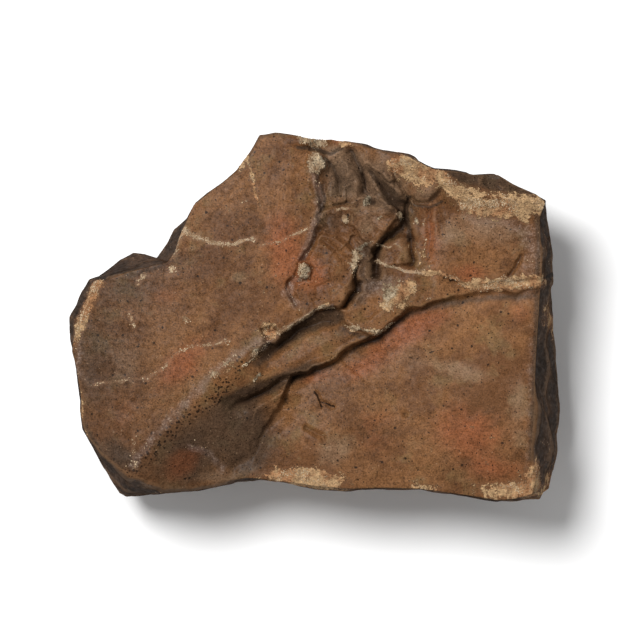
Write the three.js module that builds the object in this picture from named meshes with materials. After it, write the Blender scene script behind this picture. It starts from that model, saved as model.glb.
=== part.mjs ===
// A stony meteorite lying on its broad side: one natural solid. Millimetres, +Z up, resting on z = 0.
// +X runs along the longest extent. The relief on top is a sum of faces, steps, grooves and humps.
import * as THREE from "three";

// Driving dimensions of the finished stone
const STONE_LENGTH = 163.8;
const STONE_WIDTH = 122.4;
const STONE_HEIGHT = 63.5;

// Fineness of the facets
const TOP_CELLS = 53;
const UPPER_WALL_ROWS = 3;
const LOWER_WALL_ROWS = 6;

// Widest outline of the stone, clockwise from the left tip: x, y and the height of the widest line there
const WIDEST_LINE = [
  [-81.8, 0.7, 44], [-74.8, 13.2, 46], [-71, 14.3, 44], [-64.3, 19.5, 38], [-59.9, 22.2, 36],
  [-56, 21.9, 36], [-52.7, 20.7, 38], [-50, 24.3, 38], [-46.7, 30.3, 38], [-42.2, 34, 40],
  [-39.5, 39, 42], [-34.2, 43, 42], [-30, 45.7, 42], [-25.7, 49.1, 44], [-21.8, 53.3, 44],
  [-17.7, 60.5, 42], [-12.7, 61, 42], [-5.3, 60.6, 42], [1.3, 59.7, 42], [5.3, 60.3, 38],
  [12.7, 58.7, 38], [20.7, 56.3, 40], [30.7, 54.2, 42], [39.6, 50.2, 42], [46.7, 49.8, 38],
  [53, 48.7, 34], [60, 48.9, 32], [66.1, 44.8, 32], [73.5, 42.1, 36], [76.7, 39.8, 38],
  [77.8, 30.5, 32], [78.8, 17.7, 30], [79.2, 1.7, 28], [79.7, -6, 26], [81.7, -19.8, 24],
  [81.9, -31.3, 22], [81.7, -42.8, 22], [80.2, -52.5, 22], [79, -57.7, 24], [75.7, -60.6, 26],
  [69.3, -60.6, 32], [60.1, -61.3, 34], [52, -59.7, 36], [43.5, -58.6, 36], [34.8, -57.1, 38],
  [23.3, -57, 38], [11.9, -57.4, 36], [0.3, -56.6, 36], [-13.5, -54.5, 34], [-21.8, -54, 32],
  [-30, -55.3, 30], [-38.3, -57, 26], [-46.7, -57.3, 22], [-55, -58.7, 18], [-62.1, -59.5, 16],
  [-64.3, -58.3, 16], [-69.3, -49.3, 20], [-73.7, -41, 24], [-76, -36.6, 28], [-77, -27.2, 34],
  [-78.7, -16, 38], [-80, -10.7, 40], [-81.7, -4.5, 42],
];

// Edge where the top breaks over into the walls, clockwise: x, y
const TOP_EDGE = [
  [-79.3, -10.7], [-78.7, -6.7], [-76, 0], [-73.7, 6], [-72, 11.7], [-67, 12.8], [-60.3, 15.5],
  [-53.7, 17.3], [-48, 18.7], [-45.3, 22.7], [-44, 27.3], [-41.7, 32.3], [-39.3, 37.7], [-33.7, 42],
  [-29.7, 44.7], [-25, 48.7], [-21.3, 52.7], [-17.2, 59.5], [-12.7, 60.2], [-5.3, 59.7], [1.3, 59],
  [5.7, 59.3], [12.7, 57.7], [20.7, 55.3], [30.7, 53.2], [39, 49.3], [46.7, 48.7], [53.3, 47.5],
  [60, 47.7], [65, 44.5], [72.7, 41], [75.3, 38.3], [73.7, 33.7], [74, 22.7], [74.3, 12.7], [73.7, 6],
  [73, -7.3], [72.3, -20.7], [72, -34], [71, -45.7], [72.3, -53.3], [71.3, -58], [65.3, -59.7],
  [60, -60], [52, -58.7], [43.3, -57.5], [34.7, -56.2], [23.3, -56], [11.7, -56.3], [0.3, -55.5],
  [-13.7, -53.5], [-22, -52.8], [-30.3, -53.7], [-38.7, -55.3], [-47, -55.3], [-53.7, -54],
  [-58.3, -52], [-63.7, -49.3], [-69.3, -44.7], [-73.7, -39], [-75, -35.3], [-76, -27], [-77.7, -16],
];

// Outline of the flat facet underneath that the stone rests on, clockwise: x, y
const REST_FACET = [
  [-60, -4], [-55, 9], [-42, 17], [-31, 28], [-12, 38], [12, 41], [34, 33], [52, 29], [60, 16],
  [61, -6], [63, -28], [57, -41], [40, -43], [14, -42], [-12, -37], [-34, -40], [-49, -35], [-58, -20],
];

// Break faces on the lower walls: compass angle, downward tilt in degrees, bite into the widest line
const BREAK_FACES = [
  [178, 17, 0], [197, 27, 1], [214, 36, 0.5], [236, 25, 0], [259, 38, 2], [276, 19, 0], [291, 30, 1.5],
  [309, 24, 0], [331, 38, 1], [348, 27, 0], [4, 39, 1.5], [22, 25, 0], [47, 31, 1], [66, 19, 0],
  [84, 28, 2], [103, 16, 0], [121, 27, 0], [139, 18, 0], [158, 25, 1],
];
const BREAK_ROUNDING = 1.6;
const OUTLINE_ROUNDING = 1.2;

// Crest between the upper slab and the ground below it: x, y and how steeply the ground falls there
const CREST_LINE = [
  [-80, -84, 0.5], [-57.7, -51.3, 0.5], [-48.7, -39.7, 0.5], [-40.3, -31.3, 0.48], [-33.7, -23.3, 0.46],
  [-25.3, -14.7, 0.4], [-18, -10.7, 0.3], [-9, -6, 0.2], [0, -2, 0.18], [10, -4, 0.16], [18, -4, 0.1],
  [26, 3, 0.05], [38, 5, 0.02], [60, 9, 0], [90, 9, 0],
];
const CREST_ROUNDING = 2.4;

// Line where the upper ground meets the flat lower face, which lies on its right: x, y
const LOWER_FACE_EDGE = [
  [-24, -70], [-22.5, -52.3], [-18.5, -40.7], [-12.5, -31], [-9.5, -24], [-7, -18.6], [-2, -17.7],
  [5, -14.7], [12, -9], [19.3, -5.7], [24.3, -2], [30.3, 2.7], [37.7, 5.1], [45, 7], [55, 9], [66, 8.8],
  [80, 10.6], [96, 12],
];

// Ridge of the pale shoulder at the upper right: x, y
const SHOULDER_RIDGE = [
  [20, 60], [27, 53.5], [36.3, 51], [41.3, 46.7], [46.3, 43.7], [54.7, 40.7], [64.7, 38.7], [78, 38],
];

// Steps on top. The ground drops on the right-hand side of each walk and recovers over the run.
// Each point is x, y and the drop there.
const STEPS = [
  { width: 0.8, run: 22, walk: [[-3, 0, 0], [-6, 3.3, 0.6], [-8, 6.7, 1.8], [-8.3, 11, 2.2],
    [-6.3, 15.3, 1.6], [-3.7, 20.3, 2], [-0.7, 25, 1.8], [2, 32, 2], [1.7, 39.3, 2.2], [1, 46.7, 2.2],
    [-0.7, 52.7, 1.6], [-3.5, 62, 1]] },
  { width: 0.8, run: 11, walk: [[-24, -18, 0], [-18, -11.3, 2], [-13.7, -6.3, 4.6], [-8.7, -3.5, 5.5],
    [-3.3, 0.5, 6], [1, 2.8, 5.5], [5, 4, 4.8], [8, 3.2, 2.2], [10, 0.5, 0]] },
  { width: 0.8, run: 7, walk: [[9, 1, 0], [10.7, -1.7, 2.2], [14.8, -3.5, 2.4], [17.9, -5.2, 2.2],
    [21.2, -5.2, 1.8], [23, -3.8, 1.4], [25.9, -0.5, 1], [28.7, 2.3, 0.8], [32.7, 2.5, 0]] },
  { width: 0.9, run: 6, walk: [[-30, -32, 0], [-27, -28.5, 2], [-21, -25, 3.4], [-15, -22, 3.4],
    [-10.7, -19, 2.4], [-2, -17.7, 1], [5, -14.7, 0.8], [12, -9, 1], [19.3, -5.7, 1], [24.3, -2, 0.8],
    [30.3, 2.7, 0.6], [37.7, 5.1, 0]] },
  { width: 0.8, run: 5, walk: [[33, 13, 0], [36.3, 15.3, 0.8], [41.3, 14, 0.9], [46.3, 12, 1.1],
    [52, 11, 1.2], [61.3, 12.3, 1.3], [68, 12.7, 1.3], [76.3, 12.7, 1.4], [92, 14, 1.4]] },
  { width: 0.9, run: 9, walk: [[2, 3, 0], [5.5, 4.3, 1], [9.5, 6.2, 3], [12, 10, 3.6], [13.5, 16, 4],
    [16, 20.5, 3.6], [20.3, 24.3, 3.4], [26, 28.5, 3], [28.5, 33, 2.6], [24.3, 38.5, 1.8], [17, 42, 2.2],
    [15, 47, 2.2], [17, 52, 1.5], [14, 56, 0]] },
];

// Flat break faces of the rough middle: height at the middle, rise toward +x and +y, edge width, outline
const BREAK_FLATS = [
  { height: 58.3, riseX: 0.05, riseY: -0.1, edge: 1, outline: [[15.3, 56.3], [19.7, 56.3], [26.3, 55.3],
    [27.3, 52.7], [25.3, 50], [27.3, 46.7], [24.7, 45.3], [20.7, 48.7], [17.3, 50.7]] },
  { height: 57.9, riseX: -0.12, riseY: 0.05, edge: 1, outline: [[2.3, 47.3], [5, 50.7], [8, 53.3],
    [13.3, 54.3], [15, 50.7], [15.7, 46], [17.3, 39.3], [11.3, 37.7], [3, 36.7], [1.3, 42.7]] },
  { height: 58.2, riseX: -0.2, riseY: 0.06, edge: 1, outline: [[2.7, 35.3], [8, 37.3], [10.7, 35.3],
    [11.3, 32], [9.7, 28.7], [6.3, 27.3], [3.3, 29.3], [0.7, 31.3]] },
  { height: 57.2, riseX: 0.05, riseY: 0.1, edge: 1, outline: [[8, 30], [13, 28.7], [15.3, 24.7],
    [14.7, 22.7], [11, 24.7], [8.3, 26.7]] },
  { height: 56.6, riseX: 0.06, riseY: -0.02, edge: 1, outline: [[14.7, 16], [20.7, 16.7], [29.7, 18],
    [31.7, 15.3], [31.3, 11], [28, 9.3], [21.3, 8.7], [15.3, 8.7], [14, 12.7]] },
  { height: 59.5, riseX: 0.03, riseY: -0.06, edge: 1, outline: [[1.7, 27.3], [6.3, 27], [11.3, 23.3],
    [13.7, 18.7], [12.7, 14.3], [11, 11], [10.3, 7], [8, 4], [4.7, 3.7], [-0.3, 3.3], [-4.7, 4.7],
    [-6, 8.7], [-5.3, 11.7], [-1.3, 13.3], [-0.3, 16.7], [-2.7, 20], [-0.7, 23.7]] },
  { height: 59.3, riseX: 0.07, riseY: -0.05, edge: 1, outline: [[12, 35], [15.3, 37.3], [20.7, 37.3],
    [24.7, 37.3], [27, 35.3], [26.7, 32.7], [24, 28.7], [21.3, 25.7], [18, 23.3], [15.3, 25], [13, 28.7],
    [11.3, 32]] },
  { height: 56.8, riseX: -0.12, riseY: 0, edge: 1, outline: [[13, 26], [15.7, 24.3], [18, 22.7], [20, 20],
    [20, 14.7], [18, 11.7], [14.3, 12], [13.5, 14.5], [14.3, 18.7], [12.5, 23]] },
  { height: 57.9, riseX: 0.1, riseY: -0.04, edge: 1, outline: [[21.7, 24.3], [24.3, 26.7], [28.7, 27],
    [31, 26], [31.3, 22], [31.7, 18.7], [28, 18], [24.7, 17.3], [21, 16.7], [20.7, 21]] },
  { height: 57.3, riseX: -0.05, riseY: 0.12, edge: 1, outline: [[11, 5.7], [13, 8.7], [16.3, 9.3],
    [20.7, 7.3], [21, 2.7], [18.7, 0.3], [14.7, 0], [10.7, 1.3], [8.7, 3]] },
  { height: 61.5, riseX: 0.1, riseY: -0.15, edge: 1.3, outline: [[-1.6, 52.2], [0.2, 54.4], [2.9, 54.2],
    [4.6, 52], [4.3, 49.2], [2.1, 47.6], [-0.6, 48.4]] },
  { height: 58.6, riseX: 0.4, riseY: -0.25, edge: 1, outline: [[-17.3, -3], [-14.2, -1.9], [-10.8, -5.3],
    [-12.6, -8.4], [-16.2, -7.6]] },
  { height: 61.3, riseX: 0, riseY: 0.1, edge: 1, outline: [[-5.3, 16.5], [-4.3, 18.7], [-2, 18.2],
    [-0.9, 15.7], [-1.6, 13.2], [-3.9, 13], [-5.1, 14.6]] },
  { height: 54.9, riseX: 0.03, riseY: -0.06, edge: 1.8, outline: [[-12, -9], [-8, -5.7], [-4.3, -3.7],
    [0.7, -1.3], [4.7, 0], [8.3, 0], [11, -2], [12, -5], [16, -5.3], [12, -9], [7, -13], [-0.3, -15],
    [-8.7, -17], [-17, -18], [-16, -14]] },
];

// Grooves and, where the depth is negative, standing folds: half width, depth, walk of x, y
const GROOVES = [
  { width: 1.3, depth: 2.7, walk: [[12.2, 55], [13.1, 52.7], [15, 49.5], [16.1, 46.1], [16.7, 41.9],
    [19.1, 38.3]] },
  { width: 1.6, depth: -2.2, walk: [[16.8, 50.5], [18.8, 46.7], [20.6, 42.2], [22.6, 39.4], [24.7, 35.9]] },
  { width: 1.1, depth: 2.3, walk: [[18, 48.2], [20.3, 45.5], [24.5, 40.7], [27.4, 38.4], [29.5, 38]] },
  { width: 1.5, depth: -1.8, walk: [[20.8, 49], [24.4, 45], [27.6, 41.8]] },
  { width: 1.2, depth: -1, walk: [[11.8, 47.7], [13.7, 43.4], [14.2, 39.6]] },
  { width: 0.6, depth: 1.4, walk: [[25.3, 48.7], [27.7, 45.3], [28.7, 42.7], [30.3, 40.3]] },
  { width: 0.9, depth: 1.4, walk: [[3.5, 52.6], [6.5, 49.5], [8.6, 45.5], [7.6, 41.5]] },
  { width: 1.5, depth: -1.3, walk: [[8.6, 53], [10.6, 49], [10.9, 44.6]] },
  { width: 1.3, depth: 1.5, walk: [[2.9, 44.6], [3.5, 41.3], [2.5, 37.7]] },
  { width: 1, depth: 1.2, walk: [[3.2, 25.6], [6.5, 22.5], [9, 19.8]] },
  { width: 0.6, depth: 1.2, walk: [[3.4, 36.4], [0.9, 33.4], [4, 29.8]] },
  { width: 0.7, depth: 2.1, walk: [[30.6, 39.7], [30.2, 36], [30.4, 31.5]] },
  { width: 0.6, depth: 1.5, walk: [[12.6, 30.6], [14.3, 27.6], [17.3, 23.6]] },
  { width: 1.5, depth: 3, walk: [[29.4, 33], [28.4, 30], [25.4, 28], [22.7, 26.3], [20.7, 23.3],
    [19.9, 20.3], [20.1, 15]] },
  { width: 1, depth: 2.2, walk: [[14.7, 11.7], [13.7, 9.3], [11.7, 6.7], [10, 5]] },
  { width: 1.9, depth: 2.6, walk: [[-18, -14], [-12.5, -9.8], [-7, -5.6], [-2.3, -2.9], [3, -0.6],
    [8, 0.6]] },
  { width: 1, depth: 1.5, walk: [[31.3, 29.3], [31.7, 27], [30.8, 24.3], [32, 20.2], [31.6, 17.8]] },
  { width: 0.8, depth: 1.3, walk: [[31.7, 40.3], [34, 38.4], [37.3, 38], [40, 40.5], [41.5, 43]] },
  { width: 0.7, depth: 1.1, walk: [[-2.3, -35.7], [2.7, -38.7], [4, -41.3]] },
  { width: 0.6, depth: 1.3, walk: [[67, 20.3], [65.3, 16.5], [63.6, 13.4]] },
  { width: 0.7, depth: 1, walk: [[2.3, 29], [-0.7, 23.7], [-2.7, 20]] },
  { width: 0.6, depth: 0.9, walk: [[-7.7, 12], [-9, 9.4], [-7.8, 6.3], [-5.7, 4.1]] },
  { width: 2.4, depth: 3.2, walk: [[-27, -27.6], [-22, -26], [-17, -23.3], [-10.7, -20.2], [-3.7, -17.6]] },
  { width: 2.4, depth: 1.2, walk: [[-10, -32], [-15, -37], [-19.7, -44], [-26, -48.5]] },
];
const NARROWEST_GROOVE = 1.3;

// Humps and hollows: centre, half widths, turn in degrees, height
const HUMPS = [
  { at: [36.7, 42], half: [3.6, 3.2], turn: 0, height: 2.4 },
  { at: [1.4, 51.4], half: [2.2, 2.2], turn: 0, height: 0.7 },
  { at: [26.4, 6.6], half: [6.2, 3.6], turn: 48, height: 1.3 },
  { at: [-16.5, -27.5], half: [5.4, 2.6], turn: 35, height: 2.2 },
  { at: [1.5, -41], half: [6.5, 6], turn: 0, height: 0.8 },
  { at: [3, -8], half: [9, 3.4], turn: 35, height: 1 },
  { at: [45, -35], half: [24, 18], turn: 10, height: 0.7 },
  { at: [-9.3, -27], half: [3.9, 1.5], turn: 5, height: -1.8 },
  { at: [10, -33], half: [12, 8], turn: 30, height: 0.5 },
  { at: [45, 20], half: [8, 10], turn: 0, height: 0.6 },
  { at: [-0.5, 58.4], half: [5, 1.5], turn: -5, height: 1.3 },
  { at: [69.5, 16], half: [2.4, 3], turn: 0, height: 0.8 },
];

// Patches of broken ground where the surface is rougher: centre, half widths, turn in degrees, share
const BROKEN_GROUND = [
  { at: [15, 44], half: [15, 15], turn: -15, height: 1 },
  { at: [22, 24], half: [13, 18], turn: -25, height: 0.9 },
  { at: [20, 7], half: [14, 7], turn: 10, height: 0.7 },
  { at: [2, 16], half: [7, 13], turn: -10, height: 0.5 },
  { at: [-22, -34], half: [10, 12], turn: 0, height: 0.4 },
  { at: [58, 46], half: [22, 6], turn: -20, height: 1 },
];

const clamp01 = (t) => Math.min(1, Math.max(0, t));

function ease(t) {
  const c = clamp01(t);
  return c * c * (3 - 2 * c);
}

function softMin(a, b, blend) {
  const h = clamp01(0.5 + (0.5 * (b - a)) / blend);
  return b * (1 - h) + a * h - blend * h * (1 - h);
}

const softMax = (a, b, blend) => -softMin(-a, -b, blend);

// Signed distance from an open walk, positive on its left, and the walk's third value nearby.
// The third value is a distance-weighted mean over the segments, so it has no jumps.
function alongWalk(x, y, walk) {
  let nearest = Infinity;
  let side = 0;
  const found = [];
  for (let i = 0; i + 1 < walk.length; i += 1) {
    const [ax, ay, av = 0] = walk[i];
    const [bx, by, bv = 0] = walk[i + 1];
    const ex = bx - ax;
    const ey = by - ay;
    const length = Math.hypot(ex, ey);
    const t = clamp01(((x - ax) * ex + (y - ay) * ey) / (length * length));
    const distance = Math.hypot(x - ax - t * ex, y - ay - t * ey);
    const across = (ex * (y - ay) - ey * (x - ax)) / length;
    const tied = Math.abs(distance - nearest) < 1e-6 && Math.abs(across) > Math.abs(side);
    if (distance < nearest - 1e-6 || tied) {
      nearest = Math.min(distance, nearest);
      side = across;
    }
    found.push([distance, av * (1 - t) + bv * t]);
  }
  let weights = 0;
  let total = 0;
  for (const [distance, value] of found) {
    const weight = ((nearest + 0.3) / (distance + 0.3)) ** 6;
    weights += weight;
    total += weight * value;
  }
  return [side < 0 ? -nearest : nearest, total / weights];
}

// Distance from a closed outline, positive inside it
function depthInside(x, y, outline) {
  let nearest = Infinity;
  let inside = false;
  for (let i = 0; i < outline.length; i += 1) {
    const [ax, ay] = outline[i];
    const [bx, by] = outline[(i + 1) % outline.length];
    const ex = bx - ax;
    const ey = by - ay;
    const t = clamp01(((x - ax) * ex + (y - ay) * ey) / (ex * ex + ey * ey));
    nearest = Math.min(nearest, Math.hypot(x - ax - t * ex, y - ay - t * ey));
    if (ay > y !== by > y && x < ax + ((y - ay) * ex) / ey) {
      inside = !inside;
    }
  }
  return inside ? nearest : -nearest;
}

// Repeatable pseudo-random value from -1 to 1 for a whole-number cell
function cellValue(i, j, k) {
  let n = (Math.imul(i, 374761393) + Math.imul(j, 668265263) + Math.imul(k, 1440662683)) >>> 0;
  n = Math.imul(n ^ (n >>> 13), 1274126177) >>> 0;
  return ((n ^ (n >>> 16)) & 0xffff) / 32767.5 - 1;
}

// Smooth noise from -1 to 1 with cells of the given size
function noise(x, y, z, size) {
  const p = [x / size, y / size, z / size];
  const cell = p.map(Math.floor);
  const f = p.map((value, axis) => ease(value - cell[axis]));
  let total = 0;
  for (let corner = 0; corner < 8; corner += 1) {
    const di = corner & 1;
    const dj = (corner >> 1) & 1;
    const dk = (corner >> 2) & 1;
    const weight = (di ? f[0] : 1 - f[0]) * (dj ? f[1] : 1 - f[1]) * (dk ? f[2] : 1 - f[2]);
    total += weight * cellValue(cell[0] + di, cell[1] + dj, cell[2] + dk);
  }
  return total;
}

function layeredNoise(x, y, z, size, layers) {
  let total = 0;
  for (let layer = 0; layer < layers; layer += 1) {
    total += noise(x + 17.3 * layer, y - 9.1 * layer, z + 5.7 * layer, size / 2 ** layer) / 2 ** layer;
  }
  return total;
}

// Shallow bowls with sharp ridges between them: 0 in the bowls, up to about 1 on the ridges
function scoops(x, y, z, size) {
  const p = [x / size, y / size, z / size];
  const cell = p.map(Math.floor);
  let nearest = Infinity;
  for (let corner = 0; corner < 27; corner += 1) {
    const i = cell[0] + (corner % 3) - 1;
    const j = cell[1] + (Math.floor(corner / 3) % 3) - 1;
    const k = cell[2] + Math.floor(corner / 9) - 1;
    const dx = p[0] - i - 0.5 - 0.45 * cellValue(i, j, k);
    const dy = p[1] - j - 0.5 - 0.45 * cellValue(j, k, i + 57);
    const dz = p[2] - k - 0.5 - 0.45 * cellValue(k, i + 31, j);
    nearest = Math.min(nearest, dx * dx + dy * dy + dz * dz);
  }
  return nearest;
}

// Height of small flat chips at random tilts, as in crushed stone
function shards(x, y, size) {
  const px = x / size;
  const py = y / size;
  let nearest = Infinity;
  let height = 0;
  for (let corner = 0; corner < 9; corner += 1) {
    const i = Math.floor(px) + (corner % 3) - 1;
    const j = Math.floor(py) + Math.floor(corner / 3) - 1;
    const dx = px - i - 0.5 - 0.45 * cellValue(i, j, 3);
    const dy = py - j - 0.5 - 0.45 * cellValue(j, i, 8);
    const far = dx * dx + dy * dy;
    if (far < nearest) {
      nearest = far;
      height = dx * cellValue(i, j, 11) + dy * cellValue(i, j, 17) + 0.4 * cellValue(i, j, 23);
    }
  }
  return size * height;
}

function hump(x, y, { at, half, turn }) {
  const c = Math.cos((turn * Math.PI) / 180);
  const s = Math.sin((turn * Math.PI) / 180);
  const dx = x - at[0];
  const dy = y - at[1];
  return Math.exp(-(((dx * c + dy * s) / half[0]) ** 2) - ((dy * c - dx * s) / half[1]) ** 2);
}

// Height of the top of the stone over a point
function topHeight(x, y) {
  const wx = x + 0.7 * layeredNoise(x, y, 1.5, 5, 4);
  const wy = y + 0.7 * layeredNoise(x, y, 40.5, 5, 4);
  // smooth slab on the left, bending down toward its outer edges
  let slab = 60.6 + 0.035 * (wx + 18) - 0.015 * wy;
  slab -= 0.0022 * Math.max(-38 - wx, 0) ** 2 + 0.001 * Math.max(wy - 25, 0) ** 2;
  slab -= 0.0012 * Math.max(-wy - 20, 0) ** 2;
  // stepped middle, falling to the flat ground at the right
  const middle = 60.2 - 0.085 * (wx + 2) - 0.01 * (wy - 30);
  const rightGround = 57.4 + 0.012 * (wx - 50) + 0.02 * (wy - 20);
  let upper = softMin(slab, softMax(middle, rightGround, 2.5), 1);
  const [pastRidge] = alongWalk(wx, wy, SHOULDER_RIDGE);
  const outer = 0.8 * pastRidge + 0.01 * pastRidge * pastRidge;
  const shoulder = 62.3 - (pastRidge > 0 ? outer : -0.62 * pastRidge) - 2 * Math.max(18 - wx, 0);
  upper = softMax(upper, shoulder, 1.6);
  // ground falling away beyond the crest to the lower face
  const [pastCrest, fall] = alongWalk(wx, wy, CREST_LINE);
  upper -= fall * 0.5 * (Math.hypot(pastCrest, CREST_ROUNDING) - pastCrest);
  let lowerFace = softMin(50.2 + 0.17 * (wx + 24), 52 + 0.047 * (wx + 5), 4);
  lowerFace -= 0.0006 * Math.max(wx - 48, 0) ** 2 + 0.0016 * Math.max(-38 - wy, 0) ** 2;
  upper = softMax(upper, lowerFace - 3 * Math.max(pastCrest, 0), 2.5);
  const [pastLower] = alongWalk(wx, wy, LOWER_FACE_EDGE);
  const share = ease(0.5 + (0.5 * pastLower) / 0.9);
  let z = upper * share + lowerFace * (1 - share);
  for (const { width, run, walk } of STEPS) {
    const [d, drop] = alongWalk(wx, wy, walk);
    z -= drop * ease(0.5 - (0.5 * d) / width) * Math.exp(-((Math.max(-d, 0) / run) ** 2));
  }
  for (const { height, riseX, riseY, edge, outline } of BREAK_FLATS) {
    const middleX = outline.reduce((sum, point) => sum + point[0], 0) / outline.length;
    const middleY = outline.reduce((sum, point) => sum + point[1], 0) / outline.length;
    const flat = height + riseX * (wx - middleX) + riseY * (wy - middleY);
    z += (flat - z) * ease(0.5 + (0.5 * depthInside(wx, wy, outline)) / edge);
  }
  for (const { width, depth, walk } of GROOVES) {
    const [d] = alongWalk(wx, wy, walk);
    const drawn = Math.max(width, NARROWEST_GROOVE);
    z -= ((depth * width) / drawn) * Math.exp(-((d / drawn) ** 2));
  }
  for (const one of HUMPS) {
    z += one.height * hump(wx, wy, one);
  }
  const broken = clamp01(BROKEN_GROUND.reduce((sum, one) => sum + one.height * hump(wx, wy, one), 0));
  z += 0.25 * layeredNoise(x, y, 3, 26, 3) + (0.12 + 0.25 * broken) * layeredNoise(x, y, 9, 9, 3);
  return z + broken * (1.3 * (scoops(wx, wy, 0.3 * z, 7) - 0.35) + 0.16 * shards(wx, wy, 5.5));
}

// Distance from the middle to a closed clockwise outline along a direction, and its third value there
function reach(angle, outline) {
  const c = Math.cos(angle);
  const s = Math.sin(angle);
  let best = [0, 0];
  for (let i = 0; i < outline.length; i += 1) {
    const [ax, ay, av = 0] = outline[i];
    const [bx, by, bv = 0] = outline[(i + 1) % outline.length];
    const slope = (bx - ax) * s - (by - ay) * c;
    const t = -(ax * s - ay * c) / slope;
    const far = (ax + (bx - ax) * t) * c + (ay + (by - ay) * t) * s;
    if (t >= -1e-9 && t <= 1 + 1e-9 && far > best[0]) {
      best = [far, av + (bv - av) * t];
    }
  }
  return best;
}

// How far the wall stands from the middle at a height, before the break faces are cut
function wallReach(angle, height, edgeReach, edgeHeight) {
  const [widest, widestHeight] = reach(angle, WIDEST_LINE);
  const [foot] = reach(angle, REST_FACET);
  if (height >= widestHeight) {
    const t = (height - widestHeight) / (edgeHeight - widestHeight);
    return edgeReach + (widest - edgeReach) * (1 - t ** 1.35);
  }
  const t = 1 - height / widestHeight;
  return foot + (widest - foot) * (1 - t ** 2.1) ** 0.62;
}

// Planes of the break faces: compass, tilt and distance in radians and millimetres
const BREAK_PLANES = BREAK_FACES.map(([compassDegrees, tiltDegrees, bite]) => {
  const compass = (compassDegrees * Math.PI) / 180;
  const tilt = (tiltDegrees * Math.PI) / 180;
  const stand = WIDEST_LINE.map(([x, y, z]) => (
    (x * Math.cos(compass) + y * Math.sin(compass)) * Math.cos(tilt) - z * Math.sin(tilt)
  ));
  return { compass, tilt, distance: Math.max(...stand) - bite };
});

// Brings a wall point back to the nearest break face in front of it
function cutByBreaks(angle, height, radius) {
  let r = radius;
  for (const { compass, tilt, distance } of BREAK_PLANES) {
    const facing = Math.cos(angle - compass) * Math.cos(tilt);
    if (facing > 0.2) {
      r = softMin(r, (distance + Math.sin(tilt) * height) / facing, BREAK_ROUNDING);
    }
  }
  return r;
}

// Flat plateaus with steep rises between them
function plateaus(value) {
  const whole = Math.floor(value);
  return whole + ease((value - whole - 0.35) / 0.3);
}

// Outward shift of a wall point: stepped fracture and wear, held back near the widest line
function brokenSkin(x, y, z, widestHeight) {
  const share = 0.22 + 0.78 * ease(Math.abs(z - widestHeight) / 11);
  const fracture = 1.1 * plateaus(2.4 * layeredNoise(x, y, z, 34, 2));
  const bowls = 6.5 * (scoops(x, y, 1.3 * z, 27) - 0.42) + 2.4 * (scoops(x, y, z, 11) - 0.4);
  return share * (fracture + bowls + 0.5 * layeredNoise(x, y, z, 13, 2));
}

// Square grid squeezed evenly into the unit disc: angle and share of the way out
function discPoint(column, row) {
  const a = (2 * column) / TOP_CELLS - 1;
  const b = (2 * row) / TOP_CELLS - 1;
  if (a === 0 && b === 0) {
    return [0, 0];
  }
  const wide = Math.abs(a) >= Math.abs(b);
  const signedOut = wide ? a : b;
  const turn = wide ? (Math.PI / 4) * (b / a) : Math.PI / 2 - (Math.PI / 4) * (a / b);
  const angle = signedOut < 0 ? turn + Math.PI : turn;
  return [angle, Math.abs(signedOut)];
}

function buildStone() {
  const points = [];
  const triangles = [];
  const side = TOP_CELLS + 1;
  const polar = [];
  for (let row = 0; row < side; row += 1) {
    for (let column = 0; column < side; column += 1) {
      const [angle, share] = discPoint(column, row);
      const radius = share * reach(angle, TOP_EDGE)[0];
      const x = radius * Math.cos(angle);
      const y = radius * Math.sin(angle);
      polar.push([angle, radius]);
      points.push([x, y, topHeight(x, y)]);
    }
  }
  for (let row = 0; row < TOP_CELLS; row += 1) {
    for (let column = 0; column < TOP_CELLS; column += 1) {
      const corner = row * side + column;
      triangles.push([corner, corner + 1, corner + side + 1], [corner, corner + side + 1, corner + side]);
    }
  }
  // outer points of the top, anticlockwise
  let ring = [];
  for (let i = 0; i < TOP_CELLS; i += 1) {
    ring.push(i);
  }
  for (let i = 0; i < TOP_CELLS; i += 1) {
    ring.push(i * side + TOP_CELLS);
  }
  for (let i = 0; i < TOP_CELLS; i += 1) {
    ring.push(side * side - 1 - i);
  }
  for (let i = 0; i < TOP_CELLS; i += 1) {
    ring.push((TOP_CELLS - i) * side);
  }
  const edge = ring.map((index) => [...polar[index], points[index][2]]);
  // wall rows from the top edge down to the rest facet
  const rows = UPPER_WALL_ROWS + LOWER_WALL_ROWS;
  for (let row = 1; row <= rows; row += 1) {
    const next = edge.map(([angle, edgeReach, edgeHeight]) => {
      const [widest, widestHeight] = reach(angle, WIDEST_LINE);
      const upperShare = Math.min(row / UPPER_WALL_ROWS, 1);
      const lowerShare = Math.max(row - UPPER_WALL_ROWS, 0) / LOWER_WALL_ROWS;
      const height = (edgeHeight + (widestHeight - edgeHeight) * upperShare) * (1 - lowerShare);
      const radius = cutByBreaks(angle, height, wallReach(angle, height, edgeReach, edgeHeight));
      const x = radius * Math.cos(angle);
      const y = radius * Math.sin(angle);
      const skinned = radius + brokenSkin(x, y, height, widestHeight);
      const out = softMin(skinned, widest, OUTLINE_ROUNDING) / radius;
      points.push([x * out, y * out, height]);
      return points.length - 1;
    });
    for (let i = 0; i < ring.length; i += 1) {
      const j = (i + 1) % ring.length;
      triangles.push([ring[i], next[i], next[j]], [ring[i], next[j], ring[j]]);
    }
    ring = next;
  }
  // rest facet
  const outline = ring.map((index) => new THREE.Vector2(points[index][0], points[index][1]));
  for (const [a, b, c] of THREE.ShapeUtils.triangulateShape(outline, [])) {
    triangles.push([ring[a], ring[c], ring[b]]);
  }
  return { points, triangles };
}

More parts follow.
